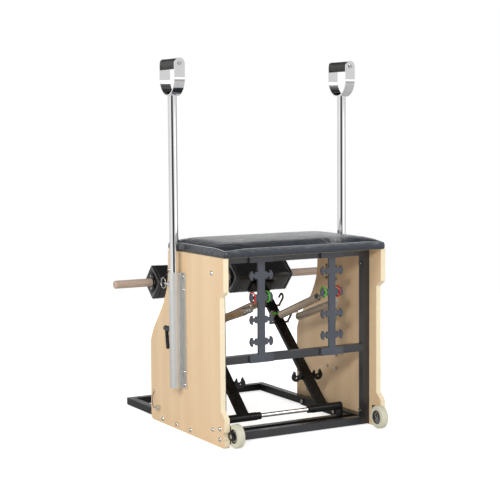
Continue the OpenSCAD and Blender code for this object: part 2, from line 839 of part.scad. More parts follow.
module pedal_arm() {
    color(colour_black) on_arm() difference() {
        union() {
            bar_x(pedal_x - hub_l / 2 + collar_l / 2, pedal_x + hub_l / 2 + collar_l / 2, 0, 0, hub_d);
            difference() {
                block([pedal_x - arm_w / 2, 0, -arm_t / 2], [pedal_x + arm_w / 2, arm_end, arm_t / 2]);
                block(
                    [pedal_x - arm_w / 2 + arm_wall, hub_d / 2 + 2, -arm_t / 2 + arm_wall],
                    [pedal_x + arm_w / 2 - arm_wall, arm_end - arm_wall, arm_t / 2 - arm_wall]
                );
            }
        }
        bar_x(0, outer_w, 0, 0, axle_d + 2 * run_gap);
    }
}

// Hooks on both sides of each arm: two crooks and a notched ear

hook_feet = [386, 464];
hook_offset = 35;
crook_d = 8;
crook_r = 10;
crook_h = 34;
crook_tip_h = 20;
foot_d = 8;

module crook(along) {
    translate([hook_offset, along, 0]) {
        translate([0, 0, -3]) cylinder(h = crook_h + 3, d = crook_d);
        translate([0, crook_r, crook_h]) rotate([90, 0, 90]) rotate_extrude(angle = 180)
            translate([crook_r, 0]) circle(d = crook_d);
        translate([0, 2 * crook_r, crook_tip_h]) cylinder(h = crook_h - crook_tip_h, d = crook_d);
        translate([0, 2 * crook_r, crook_tip_h]) sphere(d = crook_d);
    }
    bar_x(arm_w / 2, hook_offset + foot_d / 2, along, -3, foot_d);
}

// Ear outline in [distance from the arm's centre, height over the arm's centre]
ear_y = 249;
ear_t = 6;
ear_z = axle_z + (ear_y - axle_y) * tan(arm_slope);

// The ear's two horns, from the arm's side
ear_root = [[0, 4], [10, 20], [14, 4]];
ear_horn = [[28, 8], [33, 22], [40, 8]];

module ear_shape() {
    difference() {
        union() {
            translate([arm_w / 2, -10]) square([10, 20]);
            translate([arm_w / 2 + 25, 1]) circle(r = 17);
            for (horn = [ear_root, ear_horn]) translate([arm_w / 2, 0]) polygon(horn);
        }
        translate([arm_w / 2 + 20, 12]) circle(r = 7.5);
        translate([arm_w / 2 + 12.5, 12]) square([15, 20]);
        translate([arm_w / 2 + 24, -3]) circle(r = 3.2);
    }
}

module arm_hooks() {
    color(colour_black) for (s = [0, 1]) translate([pedal_x, 0, 0]) mirror([s, 0, 0]) {
        translate([-pedal_x, 0, 0]) on_arm() translate([pedal_x, 0, 0]) for (a = hook_feet) crook(a);
        translate([0, ear_y + ear_t / 2, ear_z]) rotate([90, 0, 0]) linear_extrude(ear_t) ear_shape();
    }
}

// Pad, core and dowel

module at_pad() {
    on_arm() translate([pedal_x, arm_reach, pad_lift]) children();
}

pad_round = 11;
pad_sides = 32;
// Half a pad from one end to its middle: [distance from the end, inset], with a sewn channel
pad_profile = [[0, 6], [1.2, 2.8], [4, 1], [9, 0.5], [11, 2], [13, 0.5], [30, 0.2], [70, 0]];

// Rounded square of half side a with corner radius r, as 32 points
function soft_square(a, r) = [
    for (q = [0 : 3], k = [0 : pad_sides / 4 - 1]) let (u = q * 90 + 90 * k / (pad_sides / 4 - 1)) [
        (a - r) * (q == 0 || q == 3 ? 1 : -1) + r * cos(u),
        (a - r) * (q < 2 ? 1 : -1) + r * sin(u)
    ]
];

function pad_ring(x, inset) = [for (p = soft_square(pad_side / 2 - inset, pad_round)) [x, p[0], p[1]]];

module pedal_pad() {
    color(colour_vinyl) at_pad() difference() {
        skin(concat(
            [for (q = pad_profile) pad_ring(q[0] - pad_l / 2, q[1])],
            [for (k = [len(pad_profile) - 1 : -1 : 0]) pad_ring(pad_l / 2 - pad_profile[k][0], pad_profile[k][1])]
        ));
        block(
            [-pad_l / 2 + pad_end_t, -core_side / 2 - seat_gap, -core_side / 2 - seat_gap],
            [pad_l / 2 - pad_end_t, core_side / 2 + seat_gap, core_side / 2 + seat_gap]
        );
        bar_x(-pad_l, pad_l, 0, 0, dowel_d + 2 * seat_gap);
        for (x = [-1, 1], z = [-1, 1])
            translate([x * mount_bolts[0], -pad_side, z * mount_bolts[1] - pad_lift]) rotate([-90, 0, 0])
                cylinder(h = pad_side, d = mount_screw_d + 1);
        for (s = [-1, 1]) rotate([45, 0, 0]) bar_x(-pad_l, pad_l, s * plate_bolt_r, 0, plate_screw_d + 1);
    }
}

pad_end_t = 4;
mount_screw_d = 5;
mount_screw_l = 20;
plate_screw_d = 5;
plate_bolt_r = 21;
plate_screw_l = 25;
// Screw holes in the core are this much deeper than their screws
hole_spare = 3;

module pedal_core() {
    gap = seat_gap;
    color(colour_wood) at_pad() difference() {
        block(
            [-pad_l / 2 + pad_end_t + gap, -core_side / 2, -core_side / 2],
            [pad_l / 2 - pad_end_t - gap, core_side / 2, core_side / 2]
        );
        bar_x(-pad_l, pad_l, 0, 0, dowel_d + 2 * run_gap);
        for (x = [-1, 1], z = [-1, 1])
            translate([x * mount_bolts[0], -pad_side, z * mount_bolts[1] - pad_lift]) rotate([-90, 0, 0])
                cylinder(h = pad_side / 2 + mount_screw_l + hole_spare, d = mount_screw_d + 2 * run_gap);
        for (s = [-1, 1], x = [-1, 1]) rotate([45, 0, 0])
            translate([x * (pad_l - plate_screw_l - hole_spare), 0, 0])
                bar_x(-pad_l / 2, pad_l / 2, s * plate_bolt_r, 0, plate_screw_d + 2 * run_gap);
    }
}

dowel_inner_x = pedal_x - pad_l / 2 - 1;
tip_r = 7;
module pedal_dowel() {
    length = dowel_tip_x - dowel_inner_x;
    color(colour_dowel) on_arm() translate([dowel_inner_x, arm_reach, pad_lift]) rotate([0, 90, 0])
        rotate_extrude() {
            square([dowel_d / 2, length - tip_r]);
            square([dowel_d / 2 - tip_r, length]);
            intersection() {
                translate([dowel_d / 2 - tip_r, length - tip_r]) circle(r = tip_r);
                square([dowel_d / 2, length]);
            }
        }
}

plate_l = 66;
plate_w = 38;
plate_t = 3;

// Steel plates: the arm's mount under the pad and one plate on each end, all with their screws
module pedal_plates() {
    color(colour_black) at_pad() {
        translate([0, -pad_side / 2 - seat_gap - mount_t, -pad_lift]) {
            difference() {
                block([-mount_w / 2, 0, -mount_h / 2], [mount_w / 2, mount_t, mount_h / 2]);
                for (x = [-1, 1], z = [-1, 1])
                    translate([x * mount_bolts[0], -cut, z * mount_bolts[1]]) rotate([-90, 0, 0])
                        cylinder(h = mount_t + 2 * cut, d = mount_screw_d + 2 * run_gap);
            }
            for (x = [-1, 1], z = [-1, 1]) translate([x * mount_bolts[0], 0, z * mount_bolts[1]]) {
                rotate([-90, 0, 0]) cylinder(h = mount_t + mount_screw_l, d = mount_screw_d);
                rotate([0, 0, -90]) dome(10, 3.5);
            }
        }
        for (s = [-1, 1]) on_side(s) translate([pad_l / 2 + seat_gap, 0, 0]) rotate([45, 0, 0]) {
            difference() {
                union() {
                    block([0, -plate_l / 2 + plate_w / 4, -plate_w / 2], [plate_t, plate_l / 2 - plate_w / 4, plate_w / 2]);
                    for (y = [-1, 1]) bar_x(0, plate_t, y * (plate_l / 2 - 11), 0, 22);
                }
                bar_x(-cut, plate_t + cut, 0, 0, dowel_d + 2 * run_gap);
                for (y = [-1, 1]) bar_x(-cut, plate_t + cut, y * plate_bolt_r, 0, plate_screw_d + 2 * run_gap);
            }
            for (y = [-1, 1]) {
                bar_x(-plate_screw_l, plate_t, y * plate_bolt_r, 0, plate_screw_d);
                translate([plate_t, y * plate_bolt_r, 0]) dome(9, 3);
            }
        }
    }
}

// Springs: a ring on a tree hook, the spring in its sleeve, a link ring on an arm crook

INNER = 0;
OUTER = 1;
ring_r = ring_d / 2 - ring_wire / 2;
hook_level = 1;
tree_hook_z = hook_top_z - hook_level * hook_pitch;
// Middle of the gap between a hook's head and its shoulder
notch_x = (hook_shoulder + hook_reach - hook_head_w) / 2;
// A tree ring is pulled back until it meets the front corners of the neck
ring_mid_y = frame_y - tree_t + sqrt(pow(ring_d / 2 - ring_wire - seat_gap, 2) - pow(hook_neck_h / 2, 2));
tree_ring_xs = [tree_x - notch_x, tree_x + notch_x];
link_ring_xs = [pedal_x - hook_offset, pedal_x + hook_offset];
ring_colours = [colour_green, colour_red];
// Where each front eye sits round its tree ring, and where the spring starts from there: [y, z]
front_angles = [-35, -72];
front_steps = [[18, -9], [2, -20]];
// Where the spring's body ends from its rear eye: [y, z]
rear_steps = [[-20, -3], [-20, -15]];

module ring_at(centre, tilt) {
    translate(centre) rotate(tilt) rotate_extrude() translate([ring_r, 0]) circle(d = ring_wire, $fn = 20);
}

module tree_rings(i) {
    color(ring_colours[i]) for (s = [-1, 1]) on_side(s)
        ring_at([tree_ring_xs[i], ring_mid_y, tree_hook_z], [0, 90, 0]);
}

// Middle of a link ring, seated in the crook on the side it is pulled to
link_tilt = 12;
pull = [0, -cos(link_tilt), sin(link_tilt)];
seat_angle = 180 - link_tilt - arm_slope;
seat_r = crook_r - crook_d / 2 - ring_wire / 2 - seat_gap;
function link_middle(i) = arm_point(
    link_ring_xs[i], hook_feet[0] + crook_r + seat_r * cos(seat_angle), crook_h + seat_r * sin(seat_angle)
) + ring_r * pull;

module link_ring(i) {
    color(ring_colours[i]) ring_at(link_middle(i), [-link_tilt, 0, 0]);
}

// The spring's end eyes are pulled against the rings
eye_r = 6;
eye_seat = eye_r - wire_d / 2 - ring_wire / 2 - seat_gap;
function front_out(i) = [0, cos(front_angles[i]), sin(front_angles[i])];
function front_eye(i) = [tree_ring_xs[i], ring_mid_y, tree_hook_z] + (ring_r + eye_seat) * front_out(i);
function rear_eye(i) = link_middle(i) + (ring_r + eye_seat) * pull;

// Both ends of the spring's body
function body_start(i) = front_eye(i) + [0, front_steps[i][0], front_steps[i][1]];
function body_end(i) = rear_eye(i) + [0, rear_steps[i][0], rear_steps[i][1]];
function body_way(i) = unit(body_end(i) - body_start(i));
function body_length(i) = norm(body_end(i) - body_start(i));

coil_r = (spring_d - wire_d) / 2;
curl_steps = 8;
bare_turns = floor(bare_l / bare_pitch);
hidden_pitch = 60;
tail_l = 14;
// A spring's tail leaves its sleeve this far over the sleeve's middle
tail_lift = 9;
function coil_length(i) = body_length(i) - tail_l;
function hidden_turns(i) = floor((coil_length(i) - bare_turns * bare_pitch) / hidden_pitch);

// Distance along the body after n turns: close ones that show, wide ones inside the sleeve
function travel(i, n) = n <= bare_turns
    ? n * bare_pitch
    : bare_turns * bare_pitch
        + (n - bare_turns) * (coil_length(i) - bare_turns * bare_pitch) / hidden_turns(i);

function coil_point(i, n) = let (
    t = body_way(i),
    u = square_to([0, 0, 1], t),
    v = cross(t, u)
) body_start(i) + travel(i, n) * t + coil_r * (cos(360 * n) * u + sin(360 * n) * v);

function coil_path(i) = [
    for (k = [0 : (bare_turns + hidden_turns(i)) * curl_steps]) coil_point(i, k / curl_steps)
];
function coil_end(i) = coil_point(i, bare_turns + hidden_turns(i)) + wire_d * body_way(i);

// Eye round a ring's wire, in the plane of a and b, from its tip to where it leaves towards a
function eye_path(centre, a, b) = [
    for (k = [0 : 8]) let (t = 225 - 30 * k) centre + eye_r * (cos(t) * a + sin(t) * b)
];

// A spring's coil with its front eye, in one piece
module springs() {
    color(colour_satin) for (i = [INNER, OUTER]) skin(tube_rings(
        concat(eye_path(front_eye(i), front_out(i), [-1, 0, 0]), coil_path(i), [coil_end(i)]),
        wire_d / 2, 6, [0, 0, 1]
    ));
}

// The rear end of each spring, which the pedal draws away from the coil
module spring_tails() {
    color(colour_satin) for (i = [INNER, OUTER]) let (
        t = body_way(i),
        start = coil_end(i) + seat_gap * t,
        mouth = body_end(i) + tail_lift * square_to([0, 0, 1], t),
        eye = eye_path(rear_eye(i), pull, cross(pull, [1, 0, 0]))
    ) skin(tube_rings(
        concat([start, start + wire_d * t, mouth], [for (k = [8 : -1 : 0]) eye[k]]),
        wire_d / 2, 6, [1, 0, 0]
    ));
}

// Each sleeve's front end along the body: the inner one covers the whole coil, the outer one leaves turns bare
sleeve_starts = [2, bare_turns * bare_pitch - 3];
sleeve_rear_gap = 2;
module sleeves() {
    for (i = [INNER, OUTER]) {
        t = body_way(i);
        length = body_length(i) - sleeve_starts[i] - sleeve_rear_gap;
        color(colour_sleeve) translate(body_start(i) + sleeve_starts[i] * t) rotate([0, acos(t[2]), atan2(t[1], t[0])])
            difference() {
                cylinder(h = length, d = sleeve_d);
                translate([0, 0, -cut]) cylinder(h = length + 2 * cut, d = sleeve_d - 2 * sleeve_wall);
            }
    }
}

// Least gap between the wires of neighbouring bare turns
function turn_step(k) = norm(coil_point(INNER, k / curl_steps + 1) - coil_point(INNER, k / curl_steps));
bare_gap = min([for (k = [0 : curl_steps]) turn_step(k)]) - wire_d;
echo(bare_gap = bare_gap);

placed() on_side(-1) side_panel();  // side_panel_left
placed() on_side(1) side_panel();  // side_panel_right
placed() seat_board();
placed() seat_cushion();
placed() steel_frame();
placed() spring_tree(-1);  // spring_tree_left
placed() spring_tree(1);  // spring_tree_right
placed() base_frame();
placed() stabiliser();
placed() pivot_brackets();
placed() pivot_axle();
placed() shaft_collars();
placed() on_side(-1) pole_socket();  // pole_socket_left
placed() on_side(1) pole_socket();  // pole_socket_right
placed() socket_bolts();
placed() panel_bolts();
placed() wheel_brackets();
placed() pin_lanyards();
placed() tree_rings(OUTER);  // tree_rings_red
placed() tree_rings(INNER);  // tree_rings_green
placed() on_side(-1) wheel_tyre();  // wheel_tyre_left
placed() on_side(1) wheel_tyre();  // wheel_tyre_right
placed() on_side(-1) wheel_core();  // wheel_core_left
placed() on_side(1) wheel_core();  // wheel_core_right
placed() on_side(-1) pole();  // pole_left
placed() on_side(1) pole();  // pole_right
placed() on_side(-1) handle_band();  // handle_band_left
placed() on_side(1) handle_band();  // handle_band_right
placed() on_side(-1) handle_grip();  // handle_grip_left
placed() on_side(1) handle_grip();  // handle_grip_right
placed() on_side(-1) handle_bolts();  // handle_bolts_left
placed() on_side(1) handle_bolts();  // handle_bolts_right
placed() on_side(-1) clamp_lever();  // clamp_lever_left
placed() on_side(1) clamp_lever();  // clamp_lever_right
placed() on_side(-1) height_pin();  // height_pin_left
placed() on_side(1) height_pin();  // height_pin_right
placed() on_side(-1) lock_pin();  // lock_pin_left
placed() on_side(1) lock_pin();  // lock_pin_right
placed() on_side(-1) pedal_arm();  // pedal_arm_left
placed() on_side(1) pedal_arm();  // pedal_arm_right
placed() on_side(-1) arm_hooks();  // arm_hooks_left
placed() on_side(1) arm_hooks();  // arm_hooks_right
placed() on_side(-1) link_ring(OUTER);  // link_ring_red_left
placed() on_side(1) link_ring(OUTER);  // link_ring_red_right
placed() on_side(-1) link_ring(INNER);  // link_ring_green_left
placed() on_side(1) link_ring(INNER);  // link_ring_green_right
placed() on_side(-1) pedal_pad();  // pedal_pad_left
placed() on_side(1) pedal_pad();  // pedal_pad_right
placed() on_side(-1) pedal_core();  // pedal_core_left
placed() on_side(1) pedal_core();  // pedal_core_right
placed() on_side(-1) pedal_dowel();  // pedal_dowel_left
placed() on_side(1) pedal_dowel();  // pedal_dowel_right
placed() on_side(-1) pedal_plates();  // pedal_plates_left
placed() on_side(1) pedal_plates();  // pedal_plates_right
placed() on_side(-1) springs();  // springs_left
placed() on_side(1) springs();  // springs_right
placed() on_side(-1) spring_tails();  // spring_tails_left
placed() on_side(1) spring_tails();  // spring_tails_right
placed() on_side(-1) sleeves();  // sleeves_left
placed() on_side(1) sleeves();  // sleeves_right
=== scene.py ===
import json
import math

import bpy
import numpy as np
from mathutils import Matrix, Vector


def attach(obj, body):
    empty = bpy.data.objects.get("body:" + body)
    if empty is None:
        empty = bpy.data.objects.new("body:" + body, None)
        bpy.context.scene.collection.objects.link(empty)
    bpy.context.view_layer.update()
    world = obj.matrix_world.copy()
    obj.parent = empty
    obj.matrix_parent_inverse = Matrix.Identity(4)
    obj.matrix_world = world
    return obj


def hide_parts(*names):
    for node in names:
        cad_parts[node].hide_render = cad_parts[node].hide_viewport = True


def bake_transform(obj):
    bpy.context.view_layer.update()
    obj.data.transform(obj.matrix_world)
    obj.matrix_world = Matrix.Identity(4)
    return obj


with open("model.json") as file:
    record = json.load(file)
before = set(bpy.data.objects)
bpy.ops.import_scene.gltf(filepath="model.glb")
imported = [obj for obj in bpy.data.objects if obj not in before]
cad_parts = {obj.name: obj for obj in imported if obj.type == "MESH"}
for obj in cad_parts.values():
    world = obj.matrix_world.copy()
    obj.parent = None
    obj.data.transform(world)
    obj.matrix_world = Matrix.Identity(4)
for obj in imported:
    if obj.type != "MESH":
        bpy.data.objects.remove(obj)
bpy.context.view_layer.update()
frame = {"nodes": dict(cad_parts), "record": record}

NODES = frame["nodes"]
SIDES = {"left": -1, "right": 1}
INNER, OUTER = 0, 1

# Sizes in mm, in the frame that the photograph was measured in: Y starts at the panels' front edge
MID_Y = 366.75
PANEL_TOP = 600
PANEL_OUTER = 305


def row(p):
    """A place of the measuring frame, in mm, as metres in the row frame."""
    p = np.asarray(p, float)
    return (p - np.array([0, MID_Y, 0])) / 1000


def unit(v):
    return v / np.linalg.norm(v)


def unit_rows(v):
    return v / (np.linalg.norm(v, axis=1)[:, None] + 1e-9)


# Materials


class Nodes:
    """Short calls for the nodes of one tree."""

    def __init__(self, tree):
        self.tree = tree
        tree.nodes.clear()

    def put(self, node, key, value):
        socket = node.inputs[key]
        if isinstance(value, bpy.types.NodeSocket):
            self.tree.links.new(value, socket)
        else:
            if socket.type == "RGBA" and len(value) == 3:
                value = (*value, 1)
            socket.default_value = value

    def add(self, kind, inputs=(), **props):
        node = self.tree.nodes.new("ShaderNode" + kind)
        for key, value in props.items():
            setattr(node, key, value)
        for key, value in dict(inputs).items():
            self.put(node, key, value)
        return node

    def math(self, operation, a, b=0.5):
        return self.add("Math", {0: a, 1: b}, operation=operation).outputs[0]

    def ramp(self, value, low, high, a, b, kind="LINEAR"):
        inputs = {"Value": value, "From Min": low, "From Max": high, "To Min": a, "To Max": b}
        return self.add("MapRange", inputs, interpolation_type=kind).outputs["Result"]


class Shader(Nodes):
    """A Principled material."""

    def __init__(self, name, **sockets):
        self.material = bpy.data.materials.new(name)
        self.material.use_nodes = True
        super().__init__(self.material.node_tree)
        named = {key.replace("_", " "): value for key, value in sockets.items()}
        self.bsdf = self.add("BsdfPrincipled", named)
        self.add("OutputMaterial", {"Surface": self.bsdf.outputs[0]})
        self.coords = self.add("TexCoord")

    def place(self, scale=(1, 1, 1)):
        return self.add("Mapping", {"Vector": self.coords.outputs["Object"], "Scale": scale}).outputs[0]

    def noise(self, vector, scale, detail=4, rough=0.55, distortion=0):
        inputs = {"Vector": vector, "Scale": scale, "Detail": detail, "Roughness": rough,
                  "Distortion": distortion}
        return self.add("TexNoise", inputs).outputs["Fac"]

    def cells(self, vector, scale, feature="DISTANCE_TO_EDGE"):
        inputs = {"Vector": vector, "Scale": scale, "Randomness": 1.0}
        return self.add("TexVoronoi", inputs, feature=feature).outputs["Distance"]

    def wave(self, vector, scale, distortion=0, detail=2, direction="X", detail_scale=1.0):
        inputs = {"Vector": vector, "Scale": scale, "Distortion": distortion, "Detail": detail,
                  "Detail Scale": detail_scale}
        return self.add("TexWave", inputs, bands_direction=direction).outputs["Fac"]

    def mix(self, factor, a, b):
        return self.add("Mix", {0: factor, 6: a, 7: b}, data_type="RGBA").outputs[2]

    def axis(self, vector, name):
        return self.add("SeparateXYZ", {"Vector": vector}).outputs[name]

    def bump(self, *heights):
        """Bump from (height, distance in metres) pairs."""
        normal = None
        for height, distance in heights:
            inputs = {"Height": height, "Distance": distance, "Strength": 1.0}
            if normal is not None:
                inputs["Normal"] = normal
            normal = self.add("Bump", inputs).outputs[0]
        self.put(self.bsdf, "Normal", normal)

    def base(self, value):
        self.put(self.bsdf, "Base Color", value)

    def rough(self, value):
        self.put(self.bsdf, "Roughness", value)


def make_ply(name, light, dark, edge_light, edge_dark):
    """Maple plywood: upright grain on the faces, thin layers along the edges."""
    s = Shader(name, Specular_IOR_Level=0.4, Coat_Weight=0.2, Coat_Roughness=0.25)
    object_place = s.coords.outputs["Object"]
    broad = s.noise(s.place(scale=(1, 1, 0.04)), 14, 3, 0.5, 0.8)
    fine = s.noise(s.place(scale=(1, 1, 0.02)), 240, 4, 0.6)
    figure = s.wave(s.place(scale=(1, 1, 0.12)), 3.2, 7, 3, "Y", detail_scale=1.4)
    tone = s.math("ADD", s.math("MULTIPLY", broad, 0.45), s.math("MULTIPLY", figure, 0.2))
    tone = s.math("ADD", tone, s.math("MULTIPLY", fine, 0.4))
    face = s.mix(s.ramp(tone, 0.3, 0.8, 0, 1), light, dark)
    # Short darker flecks along the grain, and small knots far apart
    fleck = s.ramp(s.noise(s.place(scale=(1, 1, 0.05)), 620, 2), 0.63, 0.75, 0, 0.3)
    face = s.mix(fleck, face, tuple(c * k for c, k in zip(dark, (0.8, 0.74, 0.66))))
    knot = s.ramp(s.cells(s.place(scale=(1, 1, 0.45)), 6, "F1"), 0.02, 0.07, 0.35, 0)
    face = s.mix(knot, face, tuple(c * k for c, k in zip(dark, (0.85, 0.78, 0.68))))
    depth = s.math("ABSOLUTE", s.axis(object_place, "X"))
    wobble = s.math("MULTIPLY", s.noise(s.place(), 9, 2), 0.0004)
    layer = s.math("PINGPONG", s.math("ADD", depth, wobble), 0.0014)
    lines = s.ramp(layer, 0.0004, 0.0010, 0, 1)
    speck = s.noise(s.place(scale=(8, 1, 1)), 300, 3)
    edge = s.mix(s.math("MULTIPLY", lines, 0.45), edge_light, edge_dark)
    edge = s.mix(s.ramp(speck, 0.5, 0.8, 0, 0.25), edge, edge_dark)
    facing = s.math("ABSOLUTE", s.axis(s.coords.outputs["Normal"], "X"))
    is_face = s.ramp(facing, 0.6, 0.8, 0, 1)
    s.base(s.mix(is_face, edge, face))
    s.rough(s.math("ADD", s.ramp(fine, 0.3, 0.7, 0.4, 0.52), s.ramp(is_face, 0, 1, 0.12, 0)))
    s.bump((fine, 0.00006), (lines, 0.00004))
    return s.material


def make_leather(name, colour, grain=480, gloss=0.26):
    """Upholstery leather: pebbled grain, faint creases and rubbed patches."""
    s = Shader(name, Specular_IOR_Level=0.5, Coat_Weight=0.3, Coat_Roughness=0.24, Sheen_Weight=0.05,
               Sheen_Roughness=0.5)
    pebble = s.cells(s.place(), grain)
    crease = s.noise(s.place(), 38, 5, 0.6, 0.6)
    cloud = s.noise(s.place(), 7, 3)
    s.base(s.mix(s.ramp(cloud, 0.3, 0.75, 0, 1), colour, tuple(c * 1.4 + 0.003 for c in colour)))
    creased = s.ramp(crease, 0.3, 0.7, gloss - 0.05, gloss + 0.08)
    s.rough(s.math("ADD", creased, s.ramp(pebble, 0, 0.3, 0.08, 0)))
    s.bump((s.ramp(pebble, 0, 0.28, 0, 1), 0.00008), (crease, 0.0002))
    return s.material


def make_powder(name, colour, rough=0.42, wear=0.25, shine=0.4):
    """Powder coat: orange-peel bump and slightly rubbed patches."""
    s = Shader(name, Specular_IOR_Level=shine)
    peel = s.noise(s.place(), 700, 2)
    patch = s.noise(s.place(), 14, 4, 0.6)
    s.base(s.mix(s.ramp(patch, 0.45, 0.8, 0, wear), colour, tuple(min(1, c * 1.8 + 0.01) for c in colour)))
    s.rough(s.ramp(patch, 0.3, 0.7, rough - 0.05, rough + 0.07))
    s.bump((peel, 0.00005))
    return s.material


def make_metal(name, colour, rough, brushed=0.0, axis=2, stretch=60.0):
    """Bare metal, with drawn lines along one axis if brushed."""
    s = Shader(name, Metallic=1.0)
    scale = [stretch] * 3
    scale[axis] = 1.0
    lines = s.noise(s.place(scale=tuple(scale)), 14, 3, 0.6)
    smudge = s.noise(s.place(), 22, 4, 0.6)
    s.base(s.mix(s.ramp(smudge, 0.35, 0.75, 0, 1), colour, tuple(c * 0.93 for c in colour)))
    low = s.ramp(smudge, 0.3, 0.75, rough, rough + 0.05)
    s.rough(s.math("ADD", low, s.ramp(lines, 0.3, 0.7, 0, brushed * 0.2)))
    if brushed:
        s.bump((lines, 0.00004 * brushed))
    return s.material


def make_wood_bar(name, light, dark):
    """Round hardwood bar with grain along X."""
    s = Shader(name, Specular_IOR_Level=0.4)
    bands = s.wave(s.place(scale=(0.04, 1, 1)), 60, 6, 3, "Z", detail_scale=2)
    fine = s.noise(s.place(scale=(0.03, 1, 1)), 500, 4, 0.65)
    tone = s.math("ADD", s.math("MULTIPLY", bands, 0.45), s.math("MULTIPLY", fine, 0.55))
    s.base(s.mix(s.ramp(tone, 0.25, 0.8, 0, 1), light, dark))
    s.rough(s.ramp(fine, 0.3, 0.7, 0.42, 0.58))
    s.bump((fine, 0.00015))
    return s.material


def make_rubber(name, colour, rough=0.6, scale=500, depth=0.00008, mottle=1.15):
    """Moulded rubber, plastic or thick paint with a fine texture."""
    s = Shader(name, Specular_IOR_Level=0.45)
    fine = s.noise(s.place(), scale, 3)
    dust = s.noise(s.place(), 30, 4, 0.65)
    s.base(s.mix(s.ramp(dust, 0.4, 0.8, 0, 1), colour, tuple(min(1, c * mottle) for c in colour)))
    s.rough(s.ramp(dust, 0.3, 0.7, rough - 0.06, rough + 0.06))
    s.bump((fine, depth))
    return s.material


def make_weave(name, light, dark, round_count, row_count):
    """Woven sleeve: crossing diagonal yarns round a tube, drawn on its own UV map."""
    s = Shader(name, Metallic=0.75, Specular_IOR_Level=0.6, Coat_Weight=0.5, Coat_Roughness=0.16)
    uv = s.coords.outputs["UV"]
    u = s.math("MULTIPLY", s.axis(uv, "X"), round_count)
    v = s.math("MULTIPLY", s.axis(uv, "Y"), row_count)
    first = s.math("PINGPONG", s.math("ADD", u, v), 0.5)
    second = s.math("PINGPONG", s.math("SUBTRACT", u, v), 0.5)
    yarn = s.math("MULTIPLY", s.math("MAXIMUM", first, second), 2)
    spots = s.noise(s.place(), 60, 3)
    colour = s.mix(s.ramp(yarn, 0.35, 1, 0, 1), dark, light)
    s.base(s.mix(s.ramp(spots, 0.4, 0.7, 0, 0.25), colour, dark))
    s.rough(s.ramp(yarn, 0, 1, 0.42, 0.26))
    s.bump((yarn, 0.00012))
    return s.material


def make_hook_finish(name, metal, coat, height):
    """Bright wire above a height, and powder coat on the plates below it."""
    s = Shader(name, Specular_IOR_Level=0.4)
    upper = s.math("GREATER_THAN", s.axis(s.coords.outputs["Object"], "Z"), height)
    smudge = s.noise(s.place(), 40, 4, 0.6)
    bright = s.mix(s.ramp(smudge, 0.35, 0.7, 0, 1), metal, tuple(c * 0.8 for c in metal))
    s.base(s.mix(upper, coat, bright))
    s.put(s.bsdf, "Metallic", upper)
    s.rough(s.ramp(smudge, 0.3, 0.7, 0.2, 0.3))
    s.bump((s.noise(s.place(), 700, 2), 0.00004))
    return s.material


# Height in metres between the hooks' plates and their wire
HOOK_FOOT_H = 0.3
MATERIALS = {
    "ply": make_ply("maple_ply", (0.86, 0.64, 0.40), (0.78, 0.55, 0.32), (0.97, 0.86, 0.62),
                    (0.84, 0.66, 0.41)),
    "board": make_ply("seat_ply", (0.6, 0.44, 0.27), (0.5, 0.34, 0.19), (0.7, 0.55, 0.36),
                      (0.4, 0.26, 0.14)),
    "vinyl": make_leather("black_leather", (0.017, 0.023, 0.033)),
    "pad_vinyl": make_leather("pad_leather", (0.007, 0.007, 0.008)),
    "frame_paint": make_powder("charcoal_coat", (0.020, 0.022, 0.027), 0.34, shine=0.8),
    "tree_paint": make_powder("slate_coat", (0.060, 0.068, 0.086), 0.4, shine=0.6),
    "black_paint": make_powder("black_coat", (0.009, 0.009, 0.009), 0.28, shine=0.25),
    "chrome": make_metal("polished_chrome", (0.84, 0.84, 0.85), 0.05),
    "satin_aluminium": make_metal("satin_aluminium", (0.80, 0.80, 0.78), 0.3, 0.15, 2),
    "bolt_steel": make_metal("zinc_steel", (0.56, 0.56, 0.55), 0.12),
    "pin_steel": make_metal("bright_steel", (0.68, 0.68, 0.67), 0.14, 0.2, 1),
    "spring_steel": make_metal("spring_steel", (0.62, 0.61, 0.58), 0.2, 0.4, 1),
    "tyre": make_rubber("ivory_tyre", (0.66, 0.64, 0.50), 0.35, 300, 0.00006, 1.08),
    "core": make_rubber("dark_core", (0.05, 0.05, 0.052), 0.4),
    "grip": make_rubber("grip_rubber", (0.034, 0.033, 0.031), 0.5, 700, 0.0002, 1.6),
    "black_plastic": make_rubber("black_plastic", (0.006, 0.006, 0.006), 0.3, 600, 0.00005, 1.7),
    "cable": make_rubber("cable_cover", (0.035, 0.025, 0.018), 0.35),
    "sleeve": make_weave("woven_sleeve", (0.70, 0.57, 0.42), (0.42, 0.31, 0.20), 30, 130),
    "dowel": make_wood_bar("pale_dowel", (0.60, 0.46, 0.37), (0.45, 0.33, 0.26)),
    "red_paint": make_rubber("red_coat", (0.62, 0.010, 0.008), 0.2, 200, 0.00002, 1.2),
    "green_paint": make_rubber("green_coat", (0.09, 0.50, 0.02), 0.2, 200, 0.00002, 1.2),
    "thread": make_rubber("stitch_thread", (0.66, 0.67, 0.68), 0.6, 900, 0.0001, 1.1),
    "dark_thread": make_rubber("dark_thread", (0.09, 0.09, 0.10), 0.6, 900, 0.0001, 1.1),
    "pad_end_plate": make_powder("pad_end_coat", (0.012, 0.012, 0.012), 0.4),
    "crook_steel": make_hook_finish("hook_steel", (0.30, 0.25, 0.20), (0.009, 0.009, 0.009), HOOK_FOOT_H),
}
# Nodes whose finish differs from the rest of their slot
FINISHES = {"lock_pin": "pin_steel", "pedal_core": "pad_end_plate", "arm_hooks": "crook_steel"}

SLOT_OF = {p["node"]: p["material_slot"] for p in frame["record"]["subparts"]}
for node, obj in NODES.items():
    obj.data.materials.clear()
    obj.data.materials.append(MATERIALS[FINISHES.get(node.rsplit("_", 1)[0], SLOT_OF[node])])


# Mesh helpers


